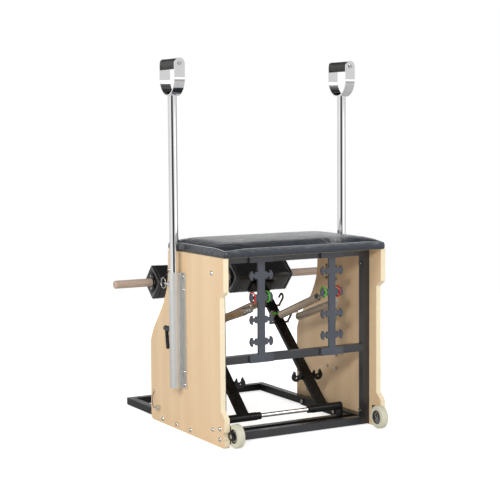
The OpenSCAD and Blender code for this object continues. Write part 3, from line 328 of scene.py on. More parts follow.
def mesh_object(name, points, faces, slot, material=None, uvs=None):
    """A smooth mesh in the row frame from points in metres."""
    mesh = bpy.data.meshes.new(name)
    mesh.from_pydata([tuple(map(float, p)) for p in points], [], [tuple(map(int, f)) for f in faces])
    mesh.polygons.foreach_set("use_smooth", [True] * len(mesh.polygons))
    if uvs is not None:
        layer = mesh.uv_layers.new(name="uv")
        index = np.empty(len(mesh.loops), int)
        mesh.loops.foreach_get("vertex_index", index)
        layer.data.foreach_set("uv", np.asarray(uvs, float)[index].ravel())
    mesh.materials.append(MATERIALS[material or slot])
    obj = bpy.data.objects.new(name, mesh)
    bpy.context.collection.objects.link(obj)
    return obj


def stacked_faces(rings, sides, closed=False):
    """Faces between stacked rings of points. A closed stack joins its last ring to its first."""
    faces = []
    for i in range(rings if closed else rings - 1):
        low, high = i * sides, (i + 1) % rings * sides
        for j in range(sides):
            k = (j + 1) % sides
            faces.append((low + j, low + k, high + k, high + j))
    return faces


def tube(path, radius, sides=12, start=(1, 0, 0)):
    """Points, faces and UVs of a closed tube along a path. radius is a number or one for each point."""
    path = np.asarray(path, float)
    radius = np.broadcast_to(radius, len(path))
    heads = np.gradient(path, axis=0)
    heads /= np.linalg.norm(heads, axis=1)[:, None]
    length = np.concatenate([[0], np.cumsum(np.linalg.norm(np.diff(path, axis=0), axis=1))])
    angles = np.arange(sides) * 2 * math.pi / sides
    side = np.asarray(start, float)
    points, uvs = [], []
    for p, t, r, along in zip(path, heads, radius, length):
        side = unit(side - (side @ t) * t)
        other = np.cross(t, side)
        points.append(p + r * (np.cos(angles)[:, None] * side + np.sin(angles)[:, None] * other))
        uvs += [(a / (2 * math.pi), along / length[-1]) for a in angles]
    faces = stacked_faces(len(path), sides)
    faces += [tuple(range(sides))[::-1], tuple(range((len(path) - 1) * sides, len(path) * sides))]
    return np.vstack(points), faces, uvs


def smooth_path(points, steps=8):
    """Catmull-Rom curve through points."""
    p = np.asarray(points, float)
    p = np.vstack([2 * p[0] - p[1], p, 2 * p[-1] - p[-2]])
    out = []
    for a, b, c, d in zip(p, p[1:], p[2:], p[3:]):
        for t in np.arange(steps) / steps:
            out.append(0.5 * (2 * b + (c - a) * t + (2 * a - 5 * b + 4 * c - d) * t * t
                              + (3 * b - a - 3 * c + d) * t ** 3))
    out.append(p[-2])
    return np.array(out)


def join_parts(parts):
    """One list of points, faces and UVs from several."""
    points, faces, uvs, base = [], [], [], 0
    for p, f, u in parts:
        points.append(p)
        faces += [tuple(i + base for i in face) for face in f]
        uvs += list(u)
        base += len(p)
    return np.vstack(points), faces, uvs


def lathe(profile, place, axis, sides=40):
    """Surface of revolution of (radius, along) pairs about an axis through a place, in metres."""
    axis = unit(np.asarray(axis, float))
    side = unit(np.cross(axis, (0.3, 0.5, 0.8)))
    other = np.cross(axis, side)
    angles = np.arange(sides) * 2 * math.pi / sides
    around = np.cos(angles)[:, None] * side + np.sin(angles)[:, None] * other
    points = np.vstack([np.asarray(place) + along * axis + r * around for r, along in profile])
    return points, stacked_faces(len(profile), sides, closed=True), [(0, 0)] * len(points)


SHARP_ANGLE = math.radians(35)


def soften(obj, width):
    """Small rounded edges on a CAD part."""
    m = obj.modifiers.new("edges", "BEVEL")
    m.width = width
    m.segments = 2
    m.limit_method = "ANGLE"
    m.angle_limit = SHARP_ANGLE
    m.harden_normals = True


# How nodes' names begin, and the width of their rounded edges in metres
EDGES = {"side_panel": 0.0012, "steel_frame": 0.0014, "spring_tree": 0.0008, "base_frame": 0.0014,
         "stabiliser": 0.0014, "pivot_brackets": 0.0008, "pole_socket": 0.0006, "wheel_brackets": 0.0006,
         "handle_band": 0.0007, "pedal_arm": 0.0012, "pedal_plates": 0.0006, "clamp_lever": 0.0012}
for node, obj in NODES.items():
    for key, width in EDGES.items():
        if node.startswith(key):
            soften(obj, width)


# Upholstery


def points_of(mesh):
    flat = np.empty(len(mesh.vertices) * 3)
    mesh.vertices.foreach_get("co", flat)
    return flat.reshape(-1, 3)


PUFF_FRAMES = 20


def puff(obj, pinned, pressure, cap, slack):
    """Swells a closed mesh as cloth. Pinned points stay, and no point moves further than cap."""
    rest = points_of(obj.data)
    group = obj.vertex_groups.new(name="sewn")
    group.add([int(i) for i in np.flatnonzero(pinned)], 1.0, "REPLACE")
    cloth = obj.modifiers.new("cloth", "CLOTH")
    settings = cloth.settings
    settings.quality = 6
    settings.mass = 0.3
    settings.tension_stiffness = 30
    settings.compression_stiffness = 30
    settings.shear_stiffness = 12
    settings.bending_stiffness = 1.5
    settings.use_pressure = True
    settings.uniform_pressure_force = pressure
    settings.shrink_min = -slack
    settings.vertex_group_mass = "sewn"
    settings.effector_weights.gravity = 0
    cloth.point_cache.frame_end = PUFF_FRAMES
    scene = bpy.context.scene
    for step in range(1, PUFF_FRAMES + 1):
        scene.frame_set(step)
    moved = points_of(obj.evaluated_get(bpy.context.evaluated_depsgraph_get()).to_mesh())
    obj.modifiers.remove(cloth)
    obj.vertex_groups.clear()
    scene.frame_set(1)
    shift = moved - rest
    size = np.linalg.norm(shift, axis=1)[:, None] + 1e-9
    obj.data.vertices.foreach_set("co", (rest + shift * cap * np.tanh(size / cap) / size).ravel())
    obj.data.update()


def subdivide(obj):
    m = obj.modifiers.new("smooth", "SUBSURF")
    m.levels = 1
    m.render_levels = 1


def stitch_row(name, path, outward, spacing, length, radius, thread="thread"):
    """Short threads laid end to end round a closed path, in metres, each a little sunk at its ends."""
    path = np.vstack([path, path[:1]])
    outward = np.vstack([outward, outward[:1]])
    run = np.concatenate([[0], np.cumsum(np.linalg.norm(np.diff(path, axis=0), axis=1))])
    count = int(run[-1] // spacing)
    places = (np.arange(count) + 0.5) * run[-1] / count
    shares = np.array([-0.5, -0.38, 0, 0.38, 0.5])
    lifts = np.array([-1.0, 0.2, 0.45, 0.2, -1.0]) * radius
    parts = []
    for place in places:
        at = place + shares * length
        line = np.array([np.interp(at, run, path[:, k]) for k in range(3)]).T
        normal = unit(np.array([np.interp(place, run, outward[:, k]) for k in range(3)]))
        parts.append(tube(line + lifts[:, None] * normal, radius, 6, normal))
    points, faces, _ = join_parts(parts)
    return mesh_object(name, points, faces, "vinyl", material=thread)


SEAT_W, SEAT_D = 606, 410
SEAT_MID_Y = 196
SEAT_SEAM_H = 29
SEAT_ROUND = 12
SEAT_CELL = 5
# The top rises over its shoulder by most of the crown, and over its swell by the rest
SEAT_CROWN, SHOULDER_SHARE = 12, 0.8
SEAT_SHOULDER, SEAT_SWELL, SEAT_BLEND = 26, 150, 14
CORNER_DROP, CORNER_REACH = 5.5, 42
SEAM_IN = 4.4
# Rows down the side: how far in, and the share of the seam's height
SEAT_SIDE = [(3.4, 0.95), (2.2, 0.85), (1.2, 0.72), (0.5, 0.57), (0.2, 0.42), (0.7, 0.26), (2.0, 0.11),
             (3.8, 0.02)]
BOARD_INSET, BOARD_TOP, BOARD_GAP = 7, 15.4, 0.3
# Length, radius, spacing and lift of the threads, in metres
SEAT_THREAD_L, SEAT_THREAD_R, SEAT_THREAD_STEP, SEAT_THREAD_LIFT = 0.0048, 0.0007, 0.0072, 0.0004
# Pressure, greatest swell in metres, and slack of the cover
SEAT_PUFF = (5.0, 0.0045, 0.006)


def seat_lines(half):
    """Places of the grid lines across half a width either side, with short steps round the corners."""
    flat = half - SEAT_ROUND
    steps = SEAT_ROUND * np.array([0.36, 0.7, 1])
    inner = np.linspace(-flat, flat, round(2 * flat / SEAT_CELL) + 1)
    return np.concatenate([-flat - steps[::-1], inner, flat + steps])


def round_corners(x, y, a, b):
    """Bends the corner cells of a rectangle's grid to the arc of its round corners."""
    s = np.clip((np.abs(x) - a + SEAT_ROUND) / SEAT_ROUND, 0, 1)
    t = np.clip((np.abs(y) - b + SEAT_ROUND) / SEAT_ROUND, 0, 1)
    bent_x = np.minimum(np.abs(x), a - SEAT_ROUND) + SEAT_ROUND * s * np.sqrt(1 - t * t / 2)
    bent_y = np.minimum(np.abs(y), b - SEAT_ROUND) + SEAT_ROUND * t * np.sqrt(1 - s * s / 2)
    return np.sign(x) * bent_x, np.sign(y) * bent_y


def make_seat():
    a, b = SEAT_W / 2, SEAT_D / 2
    gx, gy = np.meshgrid(seat_lines(a), seat_lines(b), indexing="ij")
    n, m = gx.shape
    px, py = round_corners(gx, gy, a, b)
    from_x, from_y = a - np.abs(px), b - np.abs(py)
    near_x, near_y = np.exp(-from_x / SEAT_BLEND), np.exp(-from_y / SEAT_BLEND)
    inset = -SEAT_BLEND * np.log(near_x + near_y - near_x * near_y)
    near_corner = np.exp(-(from_x ** 2 + from_y ** 2) / CORNER_REACH ** 2)
    shoulder = 1 - np.exp(-np.maximum(inset, 0) / SEAT_SHOULDER)
    swell = (np.minimum(inset, SEAT_SWELL) / SEAT_SWELL) ** 2
    rise = SEAT_CROWN * (SHOULDER_SHARE * shoulder + (1 - SHOULDER_SHARE) * swell)
    height = SEAT_SEAM_H - CORNER_DROP * near_corner + rise
    top = np.stack([px * (1 - SEAM_IN / a), py * (1 - SEAM_IN / b), height], axis=-1).reshape(-1, 3)
    index = np.arange(n * m).reshape(n, m)
    faces = [(index[i, j], index[i + 1, j], index[i + 1, j + 1], index[i, j + 1])
             for i in range(n - 1) for j in range(m - 1)]
    loop = np.concatenate([index[:-1, 0], index[-1, :-1], index[:0:-1, -1], index[0, :0:-1]])
    rim = np.stack([px, py], axis=-1).reshape(-1, 2)[loop]
    seam = height.reshape(-1)[loop]
    outer = unit_rows(np.sign(rim) * np.maximum(np.abs(rim) - (a - SEAT_ROUND, b - SEAT_ROUND), 0))
    rows = [np.column_stack([rim - in_mm * outer, seam * share]) for in_mm, share in SEAT_SIDE]
    tucked = rim - (BOARD_INSET - BOARD_GAP) * outer
    rows += [np.column_stack([tucked, np.full(len(rim), z)]) for z in (BOARD_GAP, BOARD_TOP)]
    points = np.vstack([top] + rows)
    base = n * m
    size = len(loop)
    rings = [loop] + [base + k * size + np.arange(size) for k in range(len(rows))]
    for upper, lower in zip(rings, rings[1:]):
        faces += [(upper[k], lower[k], lower[(k + 1) % size], upper[(k + 1) % size]) for k in range(size)]
    place = row([0, SEAT_MID_Y, PANEL_TOP])
    seat = mesh_object("seat_cover", points / 1000 + place, faces, "vinyl")
    pinned = np.zeros(len(points), bool)
    for ring in [rings[0]] + rings[-4:]:
        pinned[ring] = True
    puff(seat, pinned, *SEAT_PUFF)
    subdivide(seat)
    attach(seat, "chair")
    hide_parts("seat_cushion")
    found = points_of(seat.data)
    line = found[rings[0]] * 0.35 + found[rings[1]] * 0.65
    outward = np.column_stack([outer, np.zeros(size)])
    threads = stitch_row("seat_stitches", line + outward * SEAT_THREAD_LIFT, outward, SEAT_THREAD_STEP,
                         SEAT_THREAD_L, SEAT_THREAD_R)
    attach(threads, "chair")


# Pedals: along X from the pad's middle, square to the arm

ARM_SLOPE = math.radians(41.9)
AXLE = np.array([147, 57])
PAD_MID_X, PAD_ALONG, PAD_LIFT = 153, 605, 9
PAD_L, PAD_SIDE, PAD_ROUND = 234, 92, 12
DOWEL_R = 14.3
PAD_RING = 64
PAD_CHANNEL = 11
# Rings near each end: the distance from the end, and how far in
PAD_ENDS = [(0, 4.2), (0.5, 2.6), (2, 1.2), (5, 0.9), (8, 1.2), (9.8, 2), (PAD_CHANNEL, 3), (12.2, 2),
            (14, 1.3)]
PAD_MIDDLE_FROM, PAD_MIDDLE_RINGS, PAD_MIDDLE_IN = 18, 38, 1.1
# The part of the pad that its plates hold: half length and depth
MOUNT_HALF, MOUNT_DEPTH = 55, 6
# Length, radius and spacing of the threads, in metres
PAD_THREAD_L, PAD_THREAD_R, PAD_THREAD_STEP = 0.0042, 0.0006, 0.0062
# Pressure, greatest swell in metres, and slack of the covers
PAD_PUFF = (6.0, 0.0016, 0.004)


def pad_outline(half, r):
    """Rounded square as points with even steps, and each point's outward direction."""
    flat = 2 * (half - r)
    arc = math.pi * r / 2
    out = []
    for k in range(PAD_RING):
        run = k / PAD_RING * 4 * (flat + arc)
        quarter, along = divmod(run, flat + arc)
        if along < flat:
            p, d = np.array([half, along - flat / 2]), np.array([1.0, 0.0])
        else:
            a = (along - flat) / r
            d = np.array([math.cos(a), math.sin(a)])
            p = np.array([half - r, half - r]) + r * d
        turn = quarter * math.pi / 2
        c, s = math.cos(turn), math.sin(turn)
        spin = np.array([[c, -s], [s, c]])
        out.append((spin @ p, spin @ d))
    return np.array([p for p, _ in out]), np.array([d for _, d in out])


def make_pad(name, sign):
    outline, outward = pad_outline(PAD_SIDE / 2, PAD_ROUND)
    half = PAD_L / 2
    middle = np.linspace(PAD_MIDDLE_FROM, PAD_L - PAD_MIDDLE_FROM, PAD_MIDDLE_RINGS)
    stations = PAD_ENDS + [(x, PAD_MIDDLE_IN) for x in middle]
    stations += [(PAD_L - x, inset) for x, inset in PAD_ENDS[::-1]]
    rings = []
    for x, inset in stations:
        ring = outline - inset * outward
        rings.append(np.column_stack([np.full(PAD_RING, x - half), ring]))
    # End faces: a ring just inside the rolled edge, then the dowel's hole through to the other end
    hole = unit_rows(outline) * DOWEL_R
    closing = [(half - 0.2, outline * 0.8), (half - 0.4, hole), (-half + 0.4, hole),
               (-half + 0.2, outline * 0.8)]
    rings += [np.column_stack([np.full(PAD_RING, x), ring]) for x, ring in closing]
    points = np.vstack(rings)
    c, s = math.cos(ARM_SLOPE), math.sin(ARM_SLOPE)

    def settle(p):
        along = PAD_ALONG + p[:, 1]
        over = PAD_LIFT + p[:, 2]
        y = AXLE[0] + along * c - over * s
        z = AXLE[1] + along * s + over * c
        return row(np.column_stack([p[:, 0] + sign * PAD_MID_X, y, z]))

    faces = stacked_faces(len(rings), PAD_RING, closed=True)
    pad = mesh_object(name, settle(points), faces, "vinyl", material="pad_vinyl")
    pinned = np.zeros(len(points), bool)
    index = np.arange(len(points)).reshape(len(rings), PAD_RING)
    channels = [k for k, (x, _) in enumerate(stations) if x in (PAD_CHANNEL, PAD_L - PAD_CHANNEL)]
    for k in channels + [0, len(stations) - 1, -1, -2, -3, -4]:
        pinned[index[k]] = True
    pinned |= (points[:, 1] < -PAD_SIDE / 2 + MOUNT_DEPTH) & (np.abs(points[:, 0]) < MOUNT_HALF)
    puff(pad, pinned, *PAD_PUFF)
    subdivide(pad)
    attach(pad, "pedal_" + name.split("_")[-1])
    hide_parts(name.replace("_cover", ""))
    found = points_of(pad.data)
    turned = np.column_stack([np.zeros(PAD_RING), outward])
    spin = np.array([[1, 0, 0], [0, c, s], [0, -s, c]])
    normals = turned @ spin
    for k, tag in zip(channels, ("a", "b")):
        seam = found[index[k]] + normals * PAD_THREAD_R
        threads = stitch_row(f"{name}_stitches_{tag}", seam, normals, PAD_THREAD_STEP, PAD_THREAD_L,
                             PAD_THREAD_R, "dark_thread")
        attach(threads, "pedal_" + name.split("_")[-1])


make_seat()
for side, sign in SIDES.items():
    make_pad("pedal_pad_cover_" + side, sign)


# Springs, repeated from the source's sizes

TREE_RING_X = (107.5, 161.5)
LINK_RING_X = (118, 188)
TREE_RING = np.array([72.3101, 461.7])
RING_R = 17.2
WIRE_R = 1.5
EYE_R, EYE_SEAT = 6, 1.9
LINK_TILT = math.radians(12)
LINK_MIDDLE = np.array([398.8912, 351.0513])
FRONT_ANGLES = (math.radians(-35), math.radians(-72))
FRONT_STEPS = ((18, -9), (2, -20))
REAR_STEPS = ((-20, -3), (-20, -15))
COIL_R = 10
BARE_TURNS, BARE_PITCH, CLOSE_PITCH = 6, 6.8, 4.4
TAIL_L = 14
TAIL_LIFT = 9
SLEEVE_R, SLEEVE_WALL, SLEEVE_REAR_GAP = 14, 1.3, 2
SLEEVE_STARTS = (2, 37.8)
COIL_STEPS = 16
SLEEVE_SIDES = 44
# Height, length and lag of each wave of the gathers in the sleeves
GATHERS = ((0.22, 9.2, 0), (0.14, 5.3, 1))


class SpringLine:
    """The places along one spring, in mm, from its front eye on the tree to its rear eye on the link ring."""

    def __init__(self, sign, which):
        pull = np.array([0, -math.cos(LINK_TILT), math.sin(LINK_TILT)])
        angle = FRONT_ANGLES[which]
        self.front_out = np.array([0, math.cos(angle), math.sin(angle)])
        ring = np.array([TREE_RING_X[which], *TREE_RING])
        link = np.array([LINK_RING_X[which], *LINK_MIDDLE])
        self.pull = pull
        self.front_eye = ring + (RING_R + EYE_SEAT) * self.front_out
        self.rear_eye = link + (RING_R + EYE_SEAT) * pull
        self.start = self.front_eye + np.array([0, *FRONT_STEPS[which]])
        self.end = self.rear_eye + np.array([0, *REAR_STEPS[which]])
        self.way = unit(self.end - self.start)
        self.length = np.linalg.norm(self.end - self.start)
        self.sleeve_start = SLEEVE_STARTS[which]
        self.side = unit(np.array([0, 0, 1]) - self.way[2] * self.way)
        self.other = np.cross(self.way, self.side)
        self.mirror = np.array([sign, 1, 1])

    def placed(self, points):
        return row(np.asarray(points) * self.mirror)

    def eye(self, centre, a, b):
        turns = np.radians(225 - 15 * np.arange(17))
        return [centre + EYE_R * (math.cos(t) * a + math.sin(t) * b) for t in turns]

    def coil(self):
        """Bare turns, then close ones inside the sleeve, with a hook to each eye."""
        bare = BARE_TURNS * BARE_PITCH
        coil_l = self.length - TAIL_L
        turns = BARE_TURNS + round((coil_l - bare) / CLOSE_PITCH)
        n = np.arange(turns * COIL_STEPS + 1) / COIL_STEPS
        close = (coil_l - bare) / (turns - BARE_TURNS)
        along = np.where(n < BARE_TURNS, n * BARE_PITCH, bare + (n - BARE_TURNS) * close)
        radius = np.minimum(COIL_R, 3 + 7 * np.minimum(n / 0.6, 1))
        a = 2 * math.pi * n
        ring = np.cos(a)[:, None] * self.side + np.sin(a)[:, None] * self.other
        body = self.start + along[:, None] * self.way + radius[:, None] * ring
        front = self.eye(self.front_eye, self.front_out, np.array([-1.0, 0, 0]))
        rear = self.eye(self.rear_eye, self.pull, np.cross(self.pull, [1, 0, 0]))
        leave = body[-1] + 3 * self.way
        mouth = self.end + TAIL_LIFT * self.side
        tail = smooth_path([body[-1], leave, mouth, rear[-1], rear[-3]], 5)[1:-6]
        return np.vstack([front, body, tail, rear[::-1]])

    def sleeve(self):
        """Rings of the woven sleeve: a soft hem at each end and faint gathers between."""
        length = self.length - self.sleeve_start - SLEEVE_REAR_GAP
        ends = np.array([0, 0.6, 2, 4, 5.5])
        stations = np.concatenate([ends, np.linspace(8, length - 8, 96), length - ends[::-1]])
        gather = sum(high * np.sin(stations * 2 * math.pi / long + late) for high, long, late in GATHERS)
        hem = np.minimum(stations, length - stations)
        outer = SLEEVE_R - 0.5 + np.where(hem > 7, gather, 0.25 * (hem < 4.5))
        outer = np.where(hem < 0.5, SLEEVE_R - SLEEVE_WALL, outer)
        sides = SLEEVE_SIDES
        angles = np.arange(sides) * 2 * math.pi / sides
        around = np.cos(angles)[:, None] * self.side + np.sin(angles)[:, None] * self.other
        rings, uvs = [], []
        for s, r in zip(stations, outer):
            rings.append(self.start + (self.sleeve_start + s) * self.way + r * around)
            uvs += [(k / sides, s / length) for k in range(sides)]
        for s in (length - 0.1, length * 0.5, 0.1):
            middle = self.start + (self.sleeve_start + s) * self.way
            rings.append(middle + (SLEEVE_R - 2 * SLEEVE_WALL) * around)
            uvs += [(k / sides, s / length) for k in range(sides)]
        return np.vstack(rings), stacked_faces(len(rings), sides, closed=True), uvs


def stretch(obj, side, line, *nodes):
    """Bakes a piece's transform into its mesh, and hides the CAD nodes that it replaces."""
    tuple(line.placed(line.front_eye))
    tuple(line.placed(line.rear_eye))
    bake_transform(obj)
    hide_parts(*nodes)


for side, sign in SIDES.items():
    for which, tag in ((INNER, "inner"), (OUTER, "outer")):
        line = SpringLine(sign, which)
        points, faces, _ = tube(line.coil(), WIRE_R, 8)
        coil = mesh_object(f"spring_{tag}_{side}", line.placed(points), faces, "spring_steel")
        stretch(coil, side, line, "springs_" + side, "spring_tails_" + side)
        points, faces, uvs = line.sleeve()
        sleeve = mesh_object(f"sleeve_{tag}_{side}", line.placed(points), faces, "sleeve", uvs=uvs)
        stretch(sleeve, side, line, "sleeves_" + side)

# Lanyards, each along its route in the source

CABLE_D = 2.4
LOCK_CABLE = [[314, 477.8, 50], [316, 486, 48], [317, 496, 51], [315, 505, 62], [312, 511, 76],
              [309, 512.5, 89], [307, 512, 96]]
HEIGHT_CABLE = [[306.5, 384, 527], [310, 386, 520], [316, 388.5, 512.5], [322, 386.5, 509.5],
                [326, 381, 510.5]]
# Place, width and height of each lanyard's screw head
SCREWS = {"lock": ([PANEL_OUTER, 512, 100], 11, 5), "height": ([PANEL_OUTER, 384, 531], 13, 4)}
# Rim, drive recess and inner radius of the screw heads, in metres
SCREW_RIM, SCREW_DRIVE, SCREW_CORE = 0.0008, 0.0016, 0.0006


def make_lanyard(kind, side, sign, points):
    """A short cable between a screw on the panel and its pin, and the screw's domed head."""
    path = row(smooth_path(points, 4) * np.array([sign, 1, 1]))
    body, faces, _ = tube(path, CABLE_D / 2000, 10, (0, 1, 0))
    cable = mesh_object(f"{kind}_lanyard_{side}", body, faces, "cable")
    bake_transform(cable)
    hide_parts("pin_lanyards")
    place, width, high = SCREWS[kind]
    r, high = width / 2000, high / 1000
    dome = [(r * math.cos(t), SCREW_RIM + (high - SCREW_RIM) * math.sin(t))
            for t in np.radians([20, 40, 60, 80])]
    drive = [(r * 0.3, high - SCREW_DRIVE), (SCREW_CORE, high - SCREW_DRIVE)]
    profile = [(SCREW_CORE, 0), (r, 0), (r, SCREW_RIM)] + dome + drive
    head, faces, _ = lathe(profile, row(np.array(place) * np.array([sign, 1, 1])), (sign, 0, 0), 28)
    screw = mesh_object(f"{kind}_lanyard_screw_{side}", head, faces, "cable", material="bolt_steel")
    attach(screw, "chair")


for side, sign in SIDES.items():
    make_lanyard("lock", side, sign, LOCK_CABLE)
    make_lanyard("height", side, sign, HEIGHT_CABLE)

# Wheel bearings, seen in each hub's recess

WHEEL_AXLE_Y, WHEEL_AXLE_Z = -15.5, 41.7
WHEEL_X = (258.9, 282.9)
# Radius and height of each corner, in metres: the races with their shield, and the cover ring round them
RACES = [(0.0046, 0), (0.0046, 0.0006), (0.0062, 0.0006), (0.0064, 0.0002), (0.0091, 0.0002),
         (0.0093, 0.0006), (0.0109, 0.0006), (0.0109, 0)]
COVER_RING = [(0.0126, -0.0031), (0.0126, -0.0014), (0.0130, -0.0010), (0.0170, -0.0010), (0.0174, -0.0014),
              (0.0174, -0.0031)]


def make_bearings(side, sign):
    parts = []
    for x, out in zip(WHEEL_X, (-1, 1)):
        place = row([sign * x, WHEEL_AXLE_Y, WHEEL_AXLE_Z])
        parts += [lathe(profile, place, (sign * out, 0, 0), 36) for profile in (RACES, COVER_RING)]
    points, faces, _ = join_parts(parts)
    shields = mesh_object("wheel_bearings_" + side, points, faces, "bolt_steel")
    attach(shields, "wheel_" + side)


for side, sign in SIDES.items():
    make_bearings(side, sign)

# Bright screw heads on the pads' end plates, above and below each dowel

# In metres: radius, height, rim and inner radius
END_SCREW_R, END_SCREW_H, END_SCREW_RIM, END_SCREW_CORE = 0.0048, 0.0032, 0.0004, 0.0005
# In mm: from the dowel's middle, and from the pad's end to the plate's face
END_SCREW_OFF, END_PLATE_FACE = 21, 3.3


def make_end_screws(side, sign):
    over = unit(np.array([0, -math.sin(ARM_SLOPE), math.cos(ARM_SLOPE)]))
    along = np.array([0, math.cos(ARM_SLOPE), math.sin(ARM_SLOPE)])
    tilt = ARM_SLOPE + math.radians(45)
    steep = np.array([0, math.cos(tilt), math.sin(tilt)])
    middle = np.array([sign * PAD_MID_X, *AXLE]) + PAD_ALONG * along + PAD_LIFT * over
    dome = END_SCREW_H - END_SCREW_RIM
    profile = [(END_SCREW_CORE, -END_SCREW_RIM), (END_SCREW_R, -END_SCREW_RIM), (END_SCREW_R, END_SCREW_RIM)]
    for t in np.radians([25, 50, 75]):
        profile.append((END_SCREW_R * math.cos(t), END_SCREW_RIM + dome * math.sin(t)))
    profile.append((END_SCREW_CORE, END_SCREW_H))
    parts = []
    for end in (-1, 1):
        for up in (-1, 1):
            place = middle + np.array([end * (PAD_L / 2 + END_PLATE_FACE), 0, 0]) + up * END_SCREW_OFF * steep
            parts.append(lathe(profile, row(place), (end, 0, 0), 20))
    points, faces, _ = join_parts(parts)
    screws = mesh_object("pad_end_screws_" + side, points, faces, "bolt_steel")
    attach(screws, "pedal_" + side)


for side, sign in SIDES.items():
    make_end_screws(side, sign)

# Camera, at the photograph's place

LENS_PIXELS, PHOTO_PIXELS, SENSOR_MM = 1354.81, 500, 36
CAM_PLACE = Vector(row((-2280.81, -3671.36, 1010.15)))
YAW, PITCH, ROLL = (math.radians(a) for a in (29.43, -5.25, -0.42))
forward = Vector((math.sin(YAW) * math.cos(PITCH), math.cos(YAW) * math.cos(PITCH), math.sin(PITCH)))
level = Vector((math.cos(YAW), -math.sin(YAW), 0))
upward = level.cross(forward)
right = math.cos(ROLL) * level + math.sin(ROLL) * upward
top = -math.sin(ROLL) * level + math.cos(ROLL) * upward
camera = bpy.data.objects.new("camera", bpy.data.cameras.new("camera"))
camera.data.sensor_width = SENSOR_MM
camera.data.lens = LENS_PIXELS / PHOTO_PIXELS * SENSOR_MM
camera.data.clip_end = 60
turn = Matrix((right, top, -forward)).transposed().to_4x4()
camera.matrix_world = Matrix.Translation(CAM_PLACE) @ turn
bpy.context.collection.objects.link(camera)
bpy.context.scene.camera = camera

# Light


def lamp(name, place, target, size, power, height=None, mirrored=True):
    data = bpy.data.lights.new(name, "AREA")
    data.shape = "RECTANGLE"
    data.size = size
    data.size_y = height or size
    data.energy = power
    obj = bpy.data.objects.new(name, data)
    obj.location = place
    obj.rotation_euler = (Vector(target) - Vector(place)).to_track_quat("-Z", "Y").to_euler()
    obj.visible_glossy = mirrored
    bpy.context.collection.objects.link(obj)


lamp("key", (-3.6, -1.2, 2.8), (0, 0, 0.4), 1.2, 54)
lamp("front", (-2.7, -3.4, 2.0), (0, 0, 0.3), 0.5, 66)
lamp("low", (2.4, -3.9, 0.5), (0, 0, 0.5), 1.7, 18, height=0.9, mirrored=False)
lamp("high", (2.3, -3.8, 2.9), (0, 0, 0.5), 1.3, 32)
lamp("back", (1.2, 3.2, 2.8), (0, 0, 0.5), 2.2, 30, mirrored=False)


# Cards round the studio: direction in degrees from -Y towards +X, half width, and the share of light there
CARDS = [(-36, 20, 0.06), (84, 12, 0.3), (34, 10, 1.5), (-125, 14, 0.8), (178, 10, 0.45), (151, 12, 1.3)]
CARD_EDGE = 9
SOFT_LIGHT = 0.38
CEILING, CEILING_LIGHT = (0.30, 0.75), 0.10
# Cards that end at a height: direction, half width, share of light, heights of the soft end, and the side
# of it where the card hangs. The handles' flat sides mirror the first, their bent sides the second, and
# the seat's front shoulder the third.
ABOVE, BELOW = (1.0, 0.0), (0.0, 1.0)
HEIGHT_CARDS = [(28, 14, 0.5, (0.0, 0.035), ABOVE), (29, 7, 0.3, (-0.17, -0.11), BELOW),
                (151, 35, 0.03, (0.16, 0.28), ABOVE)]
WHITE = (1, 1, 1, 1)


def card_light(world, around, direction, half, share):
    """The light left by a card that stands in one direction round the studio."""
    a = math.radians(direction)
    towards = (math.sin(a), -math.cos(a), 0)
    aligned = world.add("VectorMath", {0: around, 1: towards}, operation="DOT_PRODUCT").outputs["Value"]
    outside, inside = (math.cos(math.radians(turn)) for turn in (half + CARD_EDGE, half))
    return world.ramp(aligned, outside, inside, 1.0, share, "SMOOTHSTEP")


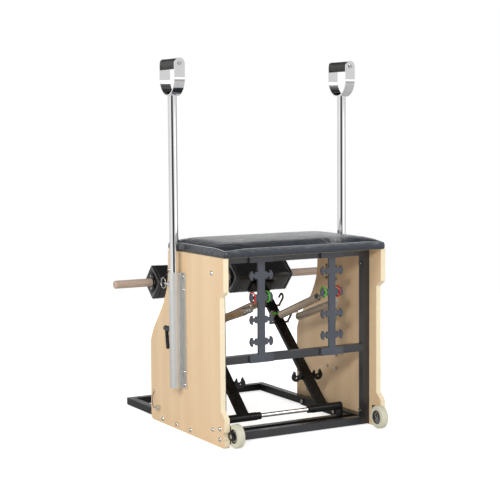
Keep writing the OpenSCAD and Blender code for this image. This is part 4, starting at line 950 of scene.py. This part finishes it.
def make_world():
    """Soft white light, a white background, and a white horizon with dark cards in reflections."""
    made = bpy.data.worlds.new("studio")
    bpy.context.scene.world = made
    made.use_nodes = True
    w = Nodes(made.node_tree)
    place = w.add("TexCoord").outputs["Generated"]
    flat = w.add("VectorMath", {0: place, 1: (1, 1, 0)}, operation="MULTIPLY").outputs[0]
    around = w.add("VectorMath", {0: flat}, operation="NORMALIZE").outputs[0]
    height = w.add("SeparateXYZ", {0: place}).outputs["Z"]
    level = w.ramp(height, *CEILING, 1.0, CEILING_LIGHT, "SMOOTHSTEP")
    for direction, half, share in CARDS:
        level = w.math("MULTIPLY", level, card_light(w, around, direction, half, share))
    for direction, half, share, heights, hangs in HEIGHT_CARDS:
        beyond = w.ramp(height, *heights, *hangs, "SMOOTHSTEP")
        card = w.math("MAXIMUM", card_light(w, around, direction, half, share), beyond)
        level = w.math("MULTIPLY", level, card)
    ray = w.add("LightPath").outputs
    white = w.math("MAXIMUM", ray["Is Camera Ray"], ray["Is Transmission Ray"])
    lights = (SOFT_LIGHT, level, 1.0)
    soft, studio, plain = (w.add("Background", {0: WHITE, 1: light}).outputs[0] for light in lights)
    lit = w.add("MixShader", {0: ray["Is Glossy Ray"], 1: soft, 2: studio}).outputs[0]
    shown = w.add("MixShader", {0: white, 1: lit, 2: plain}).outputs[0]
    w.add("OutputWorld", {0: shown})


make_world()

# Floor

FLOOR_HALF, FLOOR_DROP = 3, 0.0004
# Greys of the floor itself and of its mirror image, and the glow that the mirror image adds
FLOOR_GREY, MIRROR_GREY, MIRROR_GLOW = 0.86, 0.5, 0.18
# The glow that the camera sees grows from the middle of the floor, between these distances in metres
SEEN_GLOW, SEEN_FADE = (0.66, 1.0), (1.0, 2.6)


def make_floor():
    material = bpy.data.materials.new("pale_floor")
    material.use_nodes = True
    f = Nodes(material.node_tree)
    ray = f.add("LightPath").outputs
    place = f.add("TexCoord").outputs["Object"]
    off_middle = f.add("VectorMath", {0: place}, operation="LENGTH").outputs["Value"]
    seen = f.math("MULTIPLY", ray["Is Camera Ray"], f.ramp(off_middle, *SEEN_FADE, *SEEN_GLOW))
    glow = f.math("ADD", f.math("MULTIPLY", ray["Is Glossy Ray"], MIRROR_GLOW), seen)
    plain, dim = (f.add("BsdfDiffuse", {0: (grey,) * 3}).outputs[0] for grey in (FLOOR_GREY, MIRROR_GREY))
    surface = f.add("MixShader", {0: ray["Is Glossy Ray"], 1: plain, 2: dim}).outputs[0]
    both = f.add("AddShader", {0: surface, 1: f.add("Emission", {1: glow}).outputs[0]}).outputs[0]
    f.add("OutputMaterial", {0: both})
    mesh = bpy.data.meshes.new("floor")
    a = FLOOR_HALF
    mesh.from_pydata([(-a, -a, 0), (a, -a, 0), (a, a, 0), (-a, a, 0)], [], [(0, 1, 2, 3)])
    mesh.materials.append(material)
    floor = bpy.data.objects.new("floor", mesh)
    floor.location.z = -FLOOR_DROP
    bpy.context.collection.objects.link(floor)


make_floor()
bpy.context.scene.view_settings.view_transform = "Standard"
